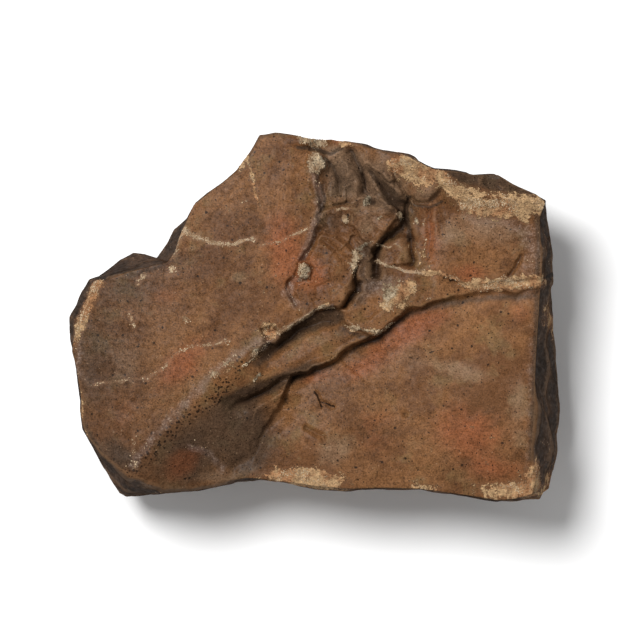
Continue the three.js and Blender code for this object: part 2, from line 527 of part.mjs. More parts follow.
// Moves the stone to stand centred on the origin and brings it to its driving dimensions
function stoneGeometry() {
  const { points, triangles } = buildStone();
  const box = new THREE.Box3().setFromPoints(points.map((p) => new THREE.Vector3(...p)));
  const size = box.getSize(new THREE.Vector3());
  const middle = box.getCenter(new THREE.Vector3());
  const placed = points.map(([x, y, z]) => [
    ((x - middle.x) * STONE_LENGTH) / size.x,
    ((y - middle.y) * STONE_WIDTH) / size.y,
    (z * STONE_HEIGHT) / size.z,
  ]);
  const geometry = new THREE.BufferGeometry();
  geometry.setAttribute("position", new THREE.Float32BufferAttribute(placed.flat(), 3));
  geometry.setIndex(triangles.flat());
  geometry.computeVertexNormals();
  return geometry;
}

const rock = new THREE.MeshStandardMaterial({ color: 0x7d5a41, roughness: 0.62, metalness: 0 });
const meteorite = new THREE.Mesh(stoneGeometry(), rock);
meteorite.name = "meteorite";

const group = new THREE.Group();
group.name = "meteorite_part";
group.add(meteorite);

export default group;
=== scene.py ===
"""A stony meteorite lying on its broad side: a weathered, varnished stone with pale crust in its splits.

Shape lengths are in millimetres and become metres when the mesh is made. The stone's top is a height over
x and y, its walls a distance from the middle over direction and height.
"""
import math
from itertools import product

import bpy
import numpy as np
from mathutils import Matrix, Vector


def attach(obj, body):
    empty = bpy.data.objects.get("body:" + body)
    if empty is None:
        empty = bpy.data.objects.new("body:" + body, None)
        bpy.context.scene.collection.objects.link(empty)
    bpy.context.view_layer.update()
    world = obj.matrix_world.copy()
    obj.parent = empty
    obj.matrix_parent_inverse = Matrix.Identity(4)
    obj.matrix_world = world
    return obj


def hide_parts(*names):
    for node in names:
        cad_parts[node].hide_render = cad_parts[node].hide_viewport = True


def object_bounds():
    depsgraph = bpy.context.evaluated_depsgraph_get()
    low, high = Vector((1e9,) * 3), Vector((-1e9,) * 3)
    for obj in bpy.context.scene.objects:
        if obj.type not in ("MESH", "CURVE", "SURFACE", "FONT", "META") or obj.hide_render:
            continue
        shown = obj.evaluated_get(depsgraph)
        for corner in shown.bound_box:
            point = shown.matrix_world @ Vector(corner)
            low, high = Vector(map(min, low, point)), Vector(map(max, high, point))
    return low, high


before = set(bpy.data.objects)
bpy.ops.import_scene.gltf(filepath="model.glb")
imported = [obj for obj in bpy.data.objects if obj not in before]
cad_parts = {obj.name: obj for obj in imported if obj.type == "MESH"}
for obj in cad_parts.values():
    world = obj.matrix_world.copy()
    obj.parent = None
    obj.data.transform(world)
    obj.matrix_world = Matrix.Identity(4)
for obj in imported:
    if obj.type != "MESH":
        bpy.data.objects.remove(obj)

cad_low, cad_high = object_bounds()

# ------------------------------------------------------------------ the stone's lines

# Widest line around the stone, clockwise from the left tip: x, y and height
WIDEST_LINE = [
    (-81.8, 0.7, 44), (-74.8, 13.2, 46), (-71, 14.3, 44), (-64.3, 19.5, 38), (-59.9, 22.2, 36),
    (-56, 21.9, 36), (-52.7, 20.7, 38), (-50, 24.3, 38), (-46.7, 30.3, 38), (-42.2, 34, 40),
    (-39.5, 39, 42), (-34.2, 43, 42), (-30, 45.7, 42), (-25.7, 49.1, 44), (-21.8, 53.3, 44),
    (-17.7, 60.5, 42), (-12.7, 61, 42), (-5.3, 60.6, 42), (1.3, 59.7, 42), (5.3, 60.3, 38),
    (12.7, 58.7, 38), (20.7, 56.3, 40), (30.7, 54.2, 42), (39.6, 50.2, 42), (46.7, 49.8, 38),
    (53, 48.7, 34), (60, 48.9, 32), (66.1, 44.8, 32), (73.5, 42.1, 36), (76.7, 39.8, 38), (77.8, 30.5, 32),
    (78.8, 17.7, 30), (79.2, 1.7, 28), (79.7, -6, 26), (81.7, -19.8, 24), (81.9, -31.3, 22),
    (81.7, -42.8, 22), (80.2, -52.5, 22), (79, -57.7, 24), (75.7, -60.6, 26), (69.3, -60.6, 32),
    (60.1, -61.3, 34), (52, -59.7, 36), (43.5, -58.6, 36), (34.8, -57.1, 38), (23.3, -57, 38),
    (11.9, -57.4, 36), (0.3, -56.6, 36), (-13.5, -54.5, 34), (-21.8, -54, 32), (-30, -55.3, 30),
    (-38.3, -57, 26), (-46.7, -57.3, 22), (-55, -58.7, 18), (-62.1, -59.5, 16), (-64.3, -58.3, 16),
    (-69.3, -49.3, 20), (-73.7, -41, 24), (-76, -36.6, 28), (-77, -27.2, 34), (-78.7, -16, 38),
    (-80, -10.7, 40), (-81.7, -4.5, 42),
]

# Edge where the top breaks over into the walls, clockwise
TOP_EDGE = [
    (-79.3, -10.7), (-78.7, -6.7), (-76, 0), (-73.7, 6), (-72, 11.7), (-67, 12.8), (-60.3, 15.5),
    (-53.7, 17.3), (-48, 18.7), (-45.3, 22.7), (-44, 27.3), (-41.7, 32.3), (-39.3, 37.7), (-33.7, 42),
    (-29.7, 44.7), (-25, 48.7), (-21.3, 52.7), (-17.2, 59.5), (-12.7, 60.2), (-5.3, 59.7), (1.3, 59),
    (5.7, 59.3), (12.7, 57.7), (20.7, 55.3), (30.7, 53.2), (39, 49.3), (46.7, 48.7), (53.3, 47.5),
    (60, 47.7), (65, 44.5), (72.7, 41), (75.3, 38.3), (73.7, 33.7), (74, 22.7), (74.3, 12.7), (73.7, 6),
    (73, -7.3), (72.3, -20.7), (72, -34), (71, -45.7), (72.3, -53.3), (71.3, -58), (65.3, -59.7),
    (60, -60), (52, -58.7), (43.3, -57.5), (34.7, -56.2), (23.3, -56), (11.7, -56.3), (0.3, -55.5),
    (-13.7, -53.5), (-22, -52.8), (-30.3, -53.7), (-38.7, -55.3), (-47, -55.3), (-53.7, -54), (-58.3, -52),
    (-63.7, -49.3), (-69.3, -44.7), (-73.7, -39), (-75, -35.3), (-76, -27), (-77.7, -16),
]

# Outline of the flat facet underneath, clockwise
REST_FACET = [
    (-60, -4), (-55, 9), (-42, 17), (-31, 28), (-12, 38), (12, 41), (34, 33), (52, 29), (60, 16), (61, -6),
    (63, -28), (57, -41), (40, -43), (14, -42), (-12, -37), (-34, -40), (-49, -35), (-58, -20),
]

# Break faces on the lower walls: direction in degrees from +x, downward tilt, bite into the widest line
BREAK_FACES = [
    (178, 17, 0), (197, 27, 1), (214, 36, 0.5), (236, 25, 0), (259, 38, 2), (276, 19, 0), (291, 30, 1.5),
    (309, 24, 0), (331, 38, 1), (348, 27, 0), (4, 39, 1.5), (22, 25, 0), (47, 31, 1), (66, 19, 0),
    (84, 28, 2), (103, 16, 0), (121, 27, 0), (139, 18, 0), (158, 25, 1),
]
BREAK_ROUNDING = 1.6
OUTLINE_ROUNDING = 1.2

# Powers of the curves that the walls follow, above the widest line and below it
UPPER_CURVE = 1.35
LOWER_CURVE = (2.1, 0.62)

# Flat grounds of the top: height at a place, rise toward +x and toward +y, and that place
UPPER_SLAB = (60.6, 0.035, -0.015, -18, 0)
ROUGH_MIDDLE = (60.2, -0.085, -0.01, -2, 30)
RIGHT_FACE = (57.4, 0.012, 0.02, 50, 20)
LOWER_FACE_LEFT = (50.2, 0.17, 0, -24, 0)
LOWER_FACE_RIGHT = (52, 0.047, 0, -5, 0)

# Crest between the upper slab and the ground below it: x, y and how steeply the ground falls there
CREST_LINE = [
    (-80, -84, 0.5), (-57.7, -51.3, 0.5), (-48.7, -39.7, 0.5), (-40.3, -31.3, 0.48), (-33.7, -23.3, 0.46),
    (-25.3, -14.7, 0.4), (-18, -10.7, 0.3), (-9, -6, 0.2), (0, -2, 0.18), (10, -4, 0.16), (18, -4, 0.1),
    (26, 3, 0.05), (38, 5, 0.02), (60, 9, 0), (90, 9, 0),
]
CREST_ROUNDING = 2.4

# Line where the upper ground meets the flat lower face, which lies on its right
LOWER_FACE_EDGE = [
    (-24, -70), (-22.5, -52.3), (-18.5, -40.7), (-12.5, -31), (-9.5, -24), (-7, -18.6), (-2, -17.7),
    (5, -14.7), (12, -9), (19.3, -5.7), (24.3, -2), (30.3, 2.7), (37.7, 5.1), (45, 7), (55, 9), (66, 8.8),
    (80, 10.6), (96, 12),
]

# Height and ridge of the pale shoulder at the back right
SHOULDER_HEIGHT = 62.3
SHOULDER_RIDGE = [
    (20, 60), (27, 53.5), (36.3, 51), (41.3, 46.7), (46.3, 43.7), (54.7, 40.7), (64.7, 38.7), (78, 38),
]

# Steps on top: width of the fall, run over which the ground recovers, walk with the drop on its right
SLAB_STEP = (0.8, 22, [
    (-3, 0, 0), (-6, 3.3, 0.6), (-8, 6.7, 1.8), (-8.3, 11, 2.2), (-6.3, 15.3, 1.6), (-3.7, 20.3, 2),
    (-0.7, 25, 1.8), (2, 32, 2), (1.7, 39.3, 2.2), (1, 46.7, 2.2), (-0.7, 52.7, 1.6), (-3.5, 62, 1)])
UPPER_LEDGE = (0.6, 11, [
    (-24, -18, 0), (-18, -11.3, 2), (-13.7, -6.3, 4.6), (-8.7, -3.5, 5.5), (-3.3, 0.5, 6), (1, 2.8, 5.5),
    (5, 4, 4.8), (8, 3.2, 2.2), (10, 0.5, 0)])
MIDDLE_LEDGE = (0.6, 7, [
    (9, 1, 0), (10.7, -1.7, 2.2), (14.8, -3.5, 2.4), (17.9, -5.2, 2.2), (21.2, -5.2, 1.8), (23, -3.8, 1.4),
    (25.9, -0.5, 1), (28.7, 2.3, 0.8), (32.7, 2.5, 0)])
LOWER_LEDGE = (0.9, 6, [
    (-30, -32, 0), (-27, -28.5, 2), (-21, -25, 3.4), (-15, -22, 3.4), (-10.7, -19, 2.4), (-2, -17.7, 1),
    (5, -14.7, 0.8), (12, -9, 1), (19.3, -5.7, 1), (24.3, -2, 0.8), (30.3, 2.7, 0.6), (37.7, 5.1, 0)])
SPLIT_LIP = (0.4, 5, [
    (33, 13, 0), (36.3, 15.3, 0.8), (41.3, 14, 0.9), (46.3, 12, 1.1), (52, 11, 1.2), (61.3, 12.3, 1.3),
    (68, 12.7, 1.3), (76.3, 12.7, 1.4), (92, 14, 1.4)])
CLIFF = (0.9, 9, [
    (2, 3, 0), (5.5, 4.3, 1), (9.5, 6.2, 3), (12, 10, 3.6), (13.5, 16, 4), (16, 20.5, 3.6),
    (20.3, 24.3, 3.4), (26, 28.5, 3), (28.5, 33, 2.6), (24.3, 38.5, 1.8), (17, 42, 2.2), (15, 47, 2.2),
    (17, 52, 1.5), (14, 56, 0)])
STEPS = [SLAB_STEP, UPPER_LEDGE, MIDDLE_LEDGE, LOWER_LEDGE, SPLIT_LIP, CLIFF]

# Flat break faces of the rough middle: height at their middle, rise toward +x and +y, edge width, outline
BREAK_FLATS = [
    (58.3, 0.05, -0.1, 0.7, [(15.3, 56.3), (19.7, 56.3), (26.3, 55.3), (27.3, 52.7), (25.3, 50),
        (27.3, 46.7), (24.7, 45.3), (20.7, 48.7), (17.3, 50.7)]),
    (57.9, -0.12, 0.05, 0.7, [(2.3, 47.3), (5, 50.7), (8, 53.3), (13.3, 54.3), (15, 50.7), (15.7, 46),
        (17.3, 39.3), (11.3, 37.7), (3, 36.7), (1.3, 42.7)]),
    (58.2, -0.2, 0.06, 0.7, [(2.7, 35.3), (8, 37.3), (10.7, 35.3), (11.3, 32), (9.7, 28.7), (6.3, 27.3),
        (3.3, 29.3), (0.7, 31.3)]),
    (57.2, 0.05, 0.1, 0.7, [(8, 30), (13, 28.7), (15.3, 24.7), (14.7, 22.7), (11, 24.7), (8.3, 26.7)]),
    (56.6, 0.06, -0.02, 0.7, [(14.7, 16), (20.7, 16.7), (29.7, 18), (31.7, 15.3), (31.3, 11), (28, 9.3),
        (21.3, 8.7), (15.3, 8.7), (14, 12.7)]),
    (59.5, 0.03, -0.06, 0.7, [(1.7, 27.3), (6.3, 27), (11.3, 23.3), (13.7, 18.7), (12.7, 14.3), (11, 11),
        (10.3, 7), (8, 4), (4.7, 3.7), (-0.3, 3.3), (-4.7, 4.7), (-6, 8.7), (-5.3, 11.7), (-1.3, 13.3),
        (-0.3, 16.7), (-2.7, 20), (-0.7, 23.7)]),
    (59.3, 0.07, -0.05, 0.7, [(12, 35), (15.3, 37.3), (20.7, 37.3), (24.7, 37.3), (27, 35.3), (26.7, 32.7),
        (24, 28.7), (21.3, 25.7), (18, 23.3), (15.3, 25), (13, 28.7), (11.3, 32)]),
    (56.8, -0.12, 0, 0.7, [(13, 26), (15.7, 24.3), (18, 22.7), (20, 20), (20, 14.7), (18, 11.7),
        (14.3, 12), (13.5, 14.5), (14.3, 18.7), (12.5, 23)]),
    (57.9, 0.1, -0.04, 0.7, [(21.7, 24.3), (24.3, 26.7), (28.7, 27), (31, 26), (31.3, 22), (31.7, 18.7),
        (28, 18), (24.7, 17.3), (21, 16.7), (20.7, 21)]),
    (57.3, -0.05, 0.12, 0.7, [(11, 5.7), (13, 8.7), (16.3, 9.3), (20.7, 7.3), (21, 2.7), (18.7, 0.3),
        (14.7, 0), (10.7, 1.3), (8.7, 3)]),
    (61.5, 0.1, -0.15, 1.3, [(-1.6, 52.2), (0.2, 54.4), (2.9, 54.2), (4.6, 52), (4.3, 49.2), (2.1, 47.6),
        (-0.6, 48.4)]),
    (58.6, 0.4, -0.25, 0.6, [(-17.3, -3), (-14.2, -1.9), (-10.8, -5.3), (-12.6, -8.4), (-16.2, -7.6)]),
    (61.3, 0, 0.1, 0.8, [(-5.3, 16.5), (-4.3, 18.7), (-2, 18.2), (-0.9, 15.7), (-1.6, 13.2), (-3.9, 13),
        (-5.1, 14.6)]),
    (54.9, 0.03, -0.06, 1.8, [(-12, -9), (-8, -5.7), (-4.3, -3.7), (0.7, -1.3), (4.7, 0), (8.3, 0),
        (11, -2), (12, -5), (16, -5.3), (12, -9), (7, -13), (-0.3, -15), (-8.7, -17), (-17, -18),
        (-16, -14)]),
]

# Walks that a groove and a colour both follow
FIRST_FOLD = [(12.2, 55), (13.1, 52.7), (15, 49.5), (16.1, 46.1), (16.7, 41.9), (19.1, 38.3)]
CRACK_STEM = [(0.2, -24.2), (1.7, -26.9), (2.5, -29.2)]
CRACK_BRANCH = [(2.2, -27.2), (6.3, -28.9)]

# Grooves and, where the depth is negative, standing folds: half width, depth, walk
GROOVES = [
    (1.3, 2.7, FIRST_FOLD),
    (1.6, -2.2, [(16.8, 50.5), (18.8, 46.7), (20.6, 42.2), (22.6, 39.4), (24.7, 35.9)]),
    (1.1, 2.3, [(18, 48.2), (20.3, 45.5), (24.5, 40.7), (27.4, 38.4), (29.5, 38)]),
    (1.5, -1.8, [(20.8, 49), (24.4, 45), (27.6, 41.8)]),
    (1.2, -1, [(11.8, 47.7), (13.7, 43.4), (14.2, 39.6)]),
    (0.6, 1.4, [(25.3, 48.7), (27.7, 45.3), (28.7, 42.7), (30.3, 40.3)]),
    (0.9, 1.4, [(3.5, 52.6), (6.5, 49.5), (8.6, 45.5), (7.6, 41.5)]),
    (1.5, -1.3, [(8.6, 53), (10.6, 49), (10.9, 44.6)]),
    (1.3, 1.5, [(2.9, 44.6), (3.5, 41.3), (2.5, 37.7)]), (1, 1.2, [(3.2, 25.6), (6.5, 22.5), (9, 19.8)]),
    (0.5, 1, [(6.7, 37.6), (10.5, 38.6), (14, 37.4), (16, 38.6)]),
    (0.6, 1.2, [(3.4, 36.4), (0.9, 33.4), (4, 29.8)]),
    (0.7, 2.1, [(30.6, 39.7), (30.2, 36), (30.4, 31.5)]),
    (0.6, 1.5, [(12.6, 30.6), (14.3, 27.6), (17.3, 23.6)]),
    (1.5, 3.0, [(29.4, 33), (28.4, 30), (25.4, 28), (22.7, 26.3), (20.7, 23.3), (19.9, 20.3), (20.1, 15)]),
    (1.0, 2.2, [(14.7, 11.7), (13.7, 9.3), (11.7, 6.7), (10, 5)]),
    (1.9, 2.6, [(-18, -14), (-12.5, -9.8), (-7, -5.6), (-2.3, -2.9), (3, -0.6), (8, 0.6)]),
    (1.0, 1.5, [(31.3, 29.3), (31.7, 27), (30.8, 24.3), (32, 20.2), (31.6, 17.8)]),
    (0.8, 1.3, [(31.7, 40.3), (34, 38.4), (37.3, 38), (40, 40.5), (41.5, 43)]),
    (0.7, 1.1, [(-2.3, -35.7), (2.7, -38.7), (4, -41.3)]),
    (0.6, 1.3, [(67, 20.3), (65.3, 16.5), (63.6, 13.4)]), (1.1, 0.6, [(37.3, 36), (38, 28), (36.5, 20)]),
    (1.0, 0.5, [(41, 34), (42, 27)]), (0.7, 1.0, [(2.3, 29), (-0.7, 23.7), (-2.7, 20)]),
    (0.6, 0.9, [(-7.7, 12), (-9, 9.4), (-7.8, 6.3), (-5.7, 4.1)]),
    (2.4, 3.2, [(-27, -27.6), (-22, -26), (-17, -23.3), (-10.7, -20.2), (-3.7, -17.6)]),
    (2.4, 1.2, [(-10, -32), (-15, -37), (-19.7, -44), (-26, -48.5)]), (0.4, 0.5, CRACK_STEM),
    (0.4, 0.4, CRACK_BRANCH),
]

# Humps and hollows: centre, half widths, turn in degrees, height
HUMPS = [
    ((36.7, 42), (3.6, 3.2), 0, 2.4), ((1.4, 51.4), (2.2, 2.2), 0, 0.7),
    ((26.4, 6.6), (6.2, 3.6), 48, 1.3), ((-16.5, -27.5), (5.4, 2.6), 35, 2.2),
    ((1.5, -41), (6.5, 6), 0, 0.8), ((3, -8), (9, 3.4), 35, 1), ((45, -35), (24, 18), 10, 0.7),
    ((-3.1, 15.7), (0.8, 0.9), 0, -1.6), ((-9.3, -27), (3.9, 1.5), 5, -1.8), ((10, -33), (12, 8), 30, 0.5),
    ((29.5, -31.2), (0.8, 0.9), 0, -0.9), ((45, 20), (8, 10), 0, 0.6), ((-0.5, 58.4), (5, 1.5), -5, 1.3),
    ((0, 55.6), (5.5, 0.7), -8, -1.2), ((10.1, 32.8), (0.9, 1), 0, 1.5), ((28, 33.6), (0.8, 1.2), 0, 1.3),
    ((17, 38.6), (1.6, 1.3), 20, 1.3), ((69.5, 16), (2.4, 3), 0, 0.8),
]

# Patches of broken ground: centre, half widths, turn in degrees, share
BROKEN_GROUND = [
    ((15, 44), (15, 15), -15, 1), ((22, 24), (13, 18), -25, 0.9), ((20, 7), (14, 7), 10, 0.7),
    ((2, 16), (7, 13), -10, 0.5), ((-22, -34), (10, 12), 0, 0.4), ((58, 46), (22, 6), -20, 1),
]

# Thin pale veins: half width, how faint, walk
VEINS = [
    (0.42, -0.1, [(-42.7, 30), (-41, 28.3), (-38.7, 27), (-36.3, 25.7), (-33.7, 25.3), (-30.3, 24.7)]),
    (0.34, 0, [(-30.3, 24.7), (-25.3, 25), (-19.3, 26)]),
    (0.22, 0.1, [(-18, 24.4), (-16.7, 24), (-12, 25), (-8.7, 26.7), (-5.3, 28.3), (-1.3, 30.3)]),
    (0.34, 0.2, [(-46, 20), (-44.5, 25), (-42, 29)]),
    (0.22, 0.3, [(-72, -21.7), (-66, -21), (-59.7, -19.7), (-55.3, -20), (-50.3, -17.3), (-45.3, -12.3),
        (-41.3, -9), (-34.7, -8.3), (-27, -7.3)]),
    (0.2, 0.75, [(-58.3, -34), (-58.6, -42), (-58.3, -50.7)]), (0.28, 0.1, [(-57, 11), (-55.3, 14.3)]),
    (0.26, 0.1, [(-60.3, 1.7), (-58.3, -2.3)]), (0.26, 0.1, [(-42, 1), (-41.3, -1.3)]),
    (0.5, 0.1, [(-46.4, 15.4), (-45.6, 16.6)]), (0.3, 0.1, [(20, 19), (29, 16), (36.3, 15.3)]),
    (0.25, 0.2, [(-9, -3), (-3.3, 1), (1, 3.2), (5, 4.5)]),
    (0.2, 0.2, [(7.3, 35.6), (9.3, 36.3), (10.6, 36)]),
    (0.25, 0.2, [(20.7, 24.3), (24, 23.8), (27, 24.6), (28.3, 23.2)]),
    (0.2, 0.5, [(36, 33), (35, 28.6), (36.7, 25.6), (36, 22)]),
]

# Thin dark cracks: half width, how faint, walk
DARK_CRACKS = [
    (0.28, 0, CRACK_STEM), (0.22, 0, CRACK_BRANCH), (0.35, 0, [(59, 11.6), (62.5, 11.2)]),
    (0.35, 0, [(65, 10.4), (68.5, 10.2)]), (0.35, 0, [(70, 9.7), (73, 9.9), (78, 11)]),
    (0.3, 0, [(43, 14.5), (44.5, 12.5), (47, 12.6)]), (0.22, 0, [(30, -13), (36, -12.2), (42, -9.5)]),
]

# Pale crust: centre, half widths, turn in degrees, strength
CRUST_PATCHES = [
    ((26, 6.9), (6.8, 4.6), 38, 1.05), ((31, 10.5), (3, 2.6), 30, 0.7), ((14.7, -3), (5.5, 1.5), -8, 0.8),
    ((9.5, 58.2), (4.5, 1.5), -14, 0.8), ((13.3, 18.7), (1.8, 3), 0, 0.6),
    ((37.3, 6.3), (1.6, 1.4), 0, 0.8), ((-3, -53.2), (11, 3.4), -3, 2.3), ((36.3, -56), (6, 1.6), 0, 0.8),
    ((62.7, -56.5), (11, 3.4), 0, 0.9), ((72, -53), (4.5, 7), -20, 1), ((-14.4, -4.4), (2.6, 3.4), 40, 1),
    ((-57, -58.4), (7, 1.8), 0, 0.9), ((-23.3, 50.3), (1.4, 2.2), 0, 0.9),
    ((-75.5, -30), (1.6, 7), 0, 0.7), ((80.6, -40), (3, 16), 0, 0.75), ((78.6, 20), (2.4, 9), 0, 0.7),
    ((-19.5, -13), (2.6, 1.8), 30, 0.8), ((-29, -17.5), (5, 1.2), 40, 0.65), ((35, 20), (2.4, 4), 0, 0.3),
]
# Crust along the splits and the shoulder: half width, strength, walk
CRUST_BANDS = [
    (3.7, 1.3, [(27.5, 50.5), (32, 48.6), (37, 46.6)]), (2.6, 1.2, [(38, 48), (42.5, 45.3), (46.5, 41)]),
    (3.1, 1.3, [(46.5, 41.5), (49, 38), (53.5, 36.6), (60, 36.2), (67, 36.4), (76, 37.4)]),
    (1.6, 0.7, [(45.5, 43.5), (54, 40.9), (62, 39.8), (74, 39)]), (1.3, 0.8, [(66, 33.7), (68.5, 32)]),
    (0.8, 1.1, [(36, 15.4), (40, 15.3), (43, 13.8), (46, 13.4), (50.6, 10.3), (54.8, 10)]),
    (2.3, 1.35, [(53, 11.2), (58, 11.2), (62, 11.8), (68, 11.9), (76.3, 11.9), (84, 12.5)]),
    (0.9, 0.85, [(-22, 53.3), (-20.3, 47.7), (-19.3, 42.7), (-18, 37.7)]),
    (0.5, 0.7, [(-18, 37.7), (-23.7, 38.3)]),
    (2.2, 1.2, [(-71, 11.4), (-72.8, 6), (-75.6, 0), (-78.3, -6.7)]),
    (0.7, 0.9, [(-13.7, -5.8), (-11, -4.2), (-8.7, -3)]), (0.6, 0.8, [(1, 3.6), (5, 4.8)]),
]

# Grey limy lumps, flakes and crumbs: centre, half widths, turn in degrees, share
LIMY_LUMPS = [
    ((1.2, 51), (3.2, 3.2), 0, 1.1), ((-3.1, 15.9), (2.3, 3.2), 0, 1.1),
    ((-0.6, 58.3), (5.2, 1.8), -6, 0.9), ((10.1, 32.8), (1, 1.2), 0, 1.3),
    ((17, 38.6), (1.8, 1.5), 20, 1.1), ((28, 33.6), (1, 1.4), 0, 1.1), ((14, 21), (2.4, 2.4), 30, 0.8),
    ((12.7, 16.5), (1.2, 2.6), 0, 0.8), ((16.6, 24.6), (2.4, 0.8), 30, 0.7),
    ((24.5, 8.6), (5.5, 3.4), 42, 0.8), ((14.5, -3.1), (4.6, 1.1), -10, 0.85),
    ((20.6, -4.5), (2.2, 1), 0, 0.8), ((24.6, -2), (1, 2.4), -35, 0.65),
    ((-9, -3.1), (4.6, 0.7), 28, 0.75), ((-1, 1.7), (4, 0.6), 36, 0.65), ((3.8, 3.8), (3, 0.7), -10, 0.7),
    ((16, 29), (2.2, 0.6), -60, 0.5), ((-28.5, -14.5), (2.4, 0.7), 35, 0.9),
    ((-32.3, -18.4), (2, 0.7), 35, 0.9), ((-18.8, -10.8), (1.7, 0.8), 45, 1),
    ((-21.8, -14.3), (1.9, 0.7), 35, 1), ((-18, -18.6), (1.4, 0.7), 40, 0.9),
    ((20.8, 33.2), (1.5, 0.7), 30, 0.7), ((33.5, 31.6), (0.7, 1.6), 20, 0.8),
    ((37.6, 6.4), (1, 0.9), 0, 1), ((-19, -20.3), (1, 0.6), 30, 0.8),
]

# Redder and greyer drifts and darker ground on top: centre, half widths, turn in degrees, share
REDDER_GROUND = [
    ((-9, 22), (8, 15), 10, 1), ((-42, -14), (13, 6), 42, 1), ((50, -37), (14, 10), -10, 0.9),
    ((33, -2), (13, 5), 18, 1), ((-42, -47), (8, 5), 35, 1), ((38, 28), (4, 12), 5, 0.8),
    ((50, 15), (7, 3.4), 0, 1), ((18, -14), (14, 5), 30, 0.8), ((-1, -19), (6, 3), 20, 0.7),
    ((2, 14), (5, 7), 0, 0.6), ((20, -36), (10, 12), 0, 0.5), ((-62, -30), (8, 10), 0, 0.4),
    ((60, -50), (10, 5), 0, 0.7), ((9, 58), (5, 1.6), -12, 1), ((-48, 8), (8, 6), 0, 0.5),
    ((67, 1), (5, 5), 0, 0.6),
]
GREYER_GROUND = [
    ((32, -15), (5, 8), 25, 0.5), ((48, -17), (12, 4), -18, 0.7), ((-61, -14), (7, 8), 0, 0.7),
    ((-33, -52), (9, 3), 0, 0.8), ((56, 30), (12, 7), -15, 0.8), ((36.5, 42), (4, 4), 0, 1),
    ((-22, 8), (6, 16), 20, 0.4), ((6, -44), (9, 6), 20, 0.7), ((42, 27), (5, 6), 0, 0.5),
    ((24, 49), (6, 7), 0, 0.8), ((11, 47), (9, 8), -20, 1.3), ((22, 41), (7, 6), -40, 1.2),
    ((17, 31), (6, 6), 0, 0.6), ((5, 55), (9, 3), -8, 0.7), ((-30, 44), (9, 8), 0, 0.4),
    ((66, -30), (5, 20), 0, 0.5),
]
# The darker ground is partly painted shade: on slopes that face away from the light and in the hollows under
# ledges
DARKER_AND_SHADED_GROUND = [
    ((14, 44), (13, 13), -25, 0.42), ((19, 16), (7, 9), -20, 0.4), ((-58, -12), (22, 30), 0, 0.3),
    ((10, -5), (7, 4), 0, 0.4), ((8, 46), (5, 7), -20, 0.4), ((24, 48), (6, 8), 0, 0.3),
    ((29, 33), (3, 10), -25, 0.5), ((17, 19), (4, 8), 0, 0.9), ((5, 32), (6, 4), 0, 0.6),
    ((23, 12), (6, 4), 0, 0.4), ((-38, -43), (17, 11), 40, 1), ((-20, -45), (6, 10), -35, 0.9),
    ((-23, -32), (10, 8), 20, 0.7), ((-22, -25), (9, 2.6), 28, 0.9), ((-63, -45), (7, 4), -35, 0.9),
    ((-74, -12), (9, 24), 0, 0.5), ((-60, 10), (10, 5), 0, 0.4), ((26, 38), (6, 4), -40, 0.6),
    ((14, 7), (3, 4), -30, 0.7),
]
# Dark soil and painted shade in grooves, under ledges and along edges: half width, strength, walk
SOIL_AND_SHADE_BANDS = [
    (0.8, 1.4, FIRST_FOLD),
    (0.7, 1.3, [(18, 48.2), (20.3, 45.5), (24.5, 40.7), (27.4, 38.4), (29.9, 38.3)]),
    (0.8, 1.5, [(30.6, 39.7), (30.2, 36), (30.4, 31.5), (30.6, 26)]),
    (1.1, 1.4, [(29.4, 32.4), (28, 29.6), (25.2, 27.8), (22.7, 26.3), (20.7, 23.3), (19.9, 20.3),
        (20.1, 15)]),
    (0.6, 1.1, [(3.5, 52.6), (6.5, 49.5), (8.6, 45.5)]), (0.7, 1.2, [(2.3, 44), (3.2, 40), (2.4, 36)]),
    (0.7, 1.2, [(-5.5, 56), (0, 55.4), (5.5, 54.3), (9, 56)]),
    (0.5, 1, [(31, 38), (34, 37.6), (38, 36.8), (41.5, 38.5)]),
    (4, 1.3, [(42, 49.8), (52, 47), (62, 44.8), (75, 41)]),
    (1.8, 0.9, [(-79, -12), (-77, -26), (-74, -38), (-66, -48)]),
    (2.6, 1.3, [(-18.5, -13), (-14, -9), (-8.5, -6), (-3, -2.2), (2, -0.6), (7, 0.6)]),
    (2.6, 1.3, [(-27, -27), (-22, -26), (-17, -23.3), (-10.7, -20.2), (-3.7, -17.4), (0, -16.4)]),
    (1.2, 0.8, [(9, -3.2), (14, -5.2), (20, -7), (25, -2.5), (30, 1.5), (38, 3.8), (52, 6.6), (72, 7.6)]),
    (1.3, 0.9, [(72.5, 36), (73, 20), (72.5, 0), (71.3, -24), (70.6, -46)]),
    (1.4, 0.7, [(-60, 14), (-50, 17.5), (-46, 23)]),
]

# Lighter ground, and painted shade where the share is negative, as on the left that tilts away from the
# light: centre, half widths, turn in degrees, share
LIGHTER_AND_SHADED_GROUND = [
    ((-66, -2), (20, 22), 0, -0.75), ((-52, -26), (12, 10), 0, -0.5), ((58, -18), (14, 20), 0, 1),
    ((62, 5), (12, 4), 4, 1.6), ((38, -22), (10, 10), 0, 0.5), ((-1, -44), (8, 6), 0, 0.8),
    ((24, -44), (8, 5), 0, 0.6), ((-12, 5), (8, 7), 30, 0.7), ((12, -5), (6, 4), 30, -0.7),
    ((-2, -27), (9, 6), 0, -0.6), ((23, -12), (7, 5), 30, -0.5), ((-50, 19), (9, 5), 10, -0.9),
    ((-26, -27), (6, 5), 0, 0.5), ((12, -33), (7, 5), 0, 0.3), ((-22, 44), (12, 12), 0, -0.45),
    ((-35, 15), (12, 8), 0, -0.3), ((60, 36.5), (14, 3.4), -4, 0.8), ((14, 24), (8, 8), 0, 0.4),
    ((44, -6), (14, 5), 20, 0.5), ((22, 6), (7, 5), 0, 0.5),
]

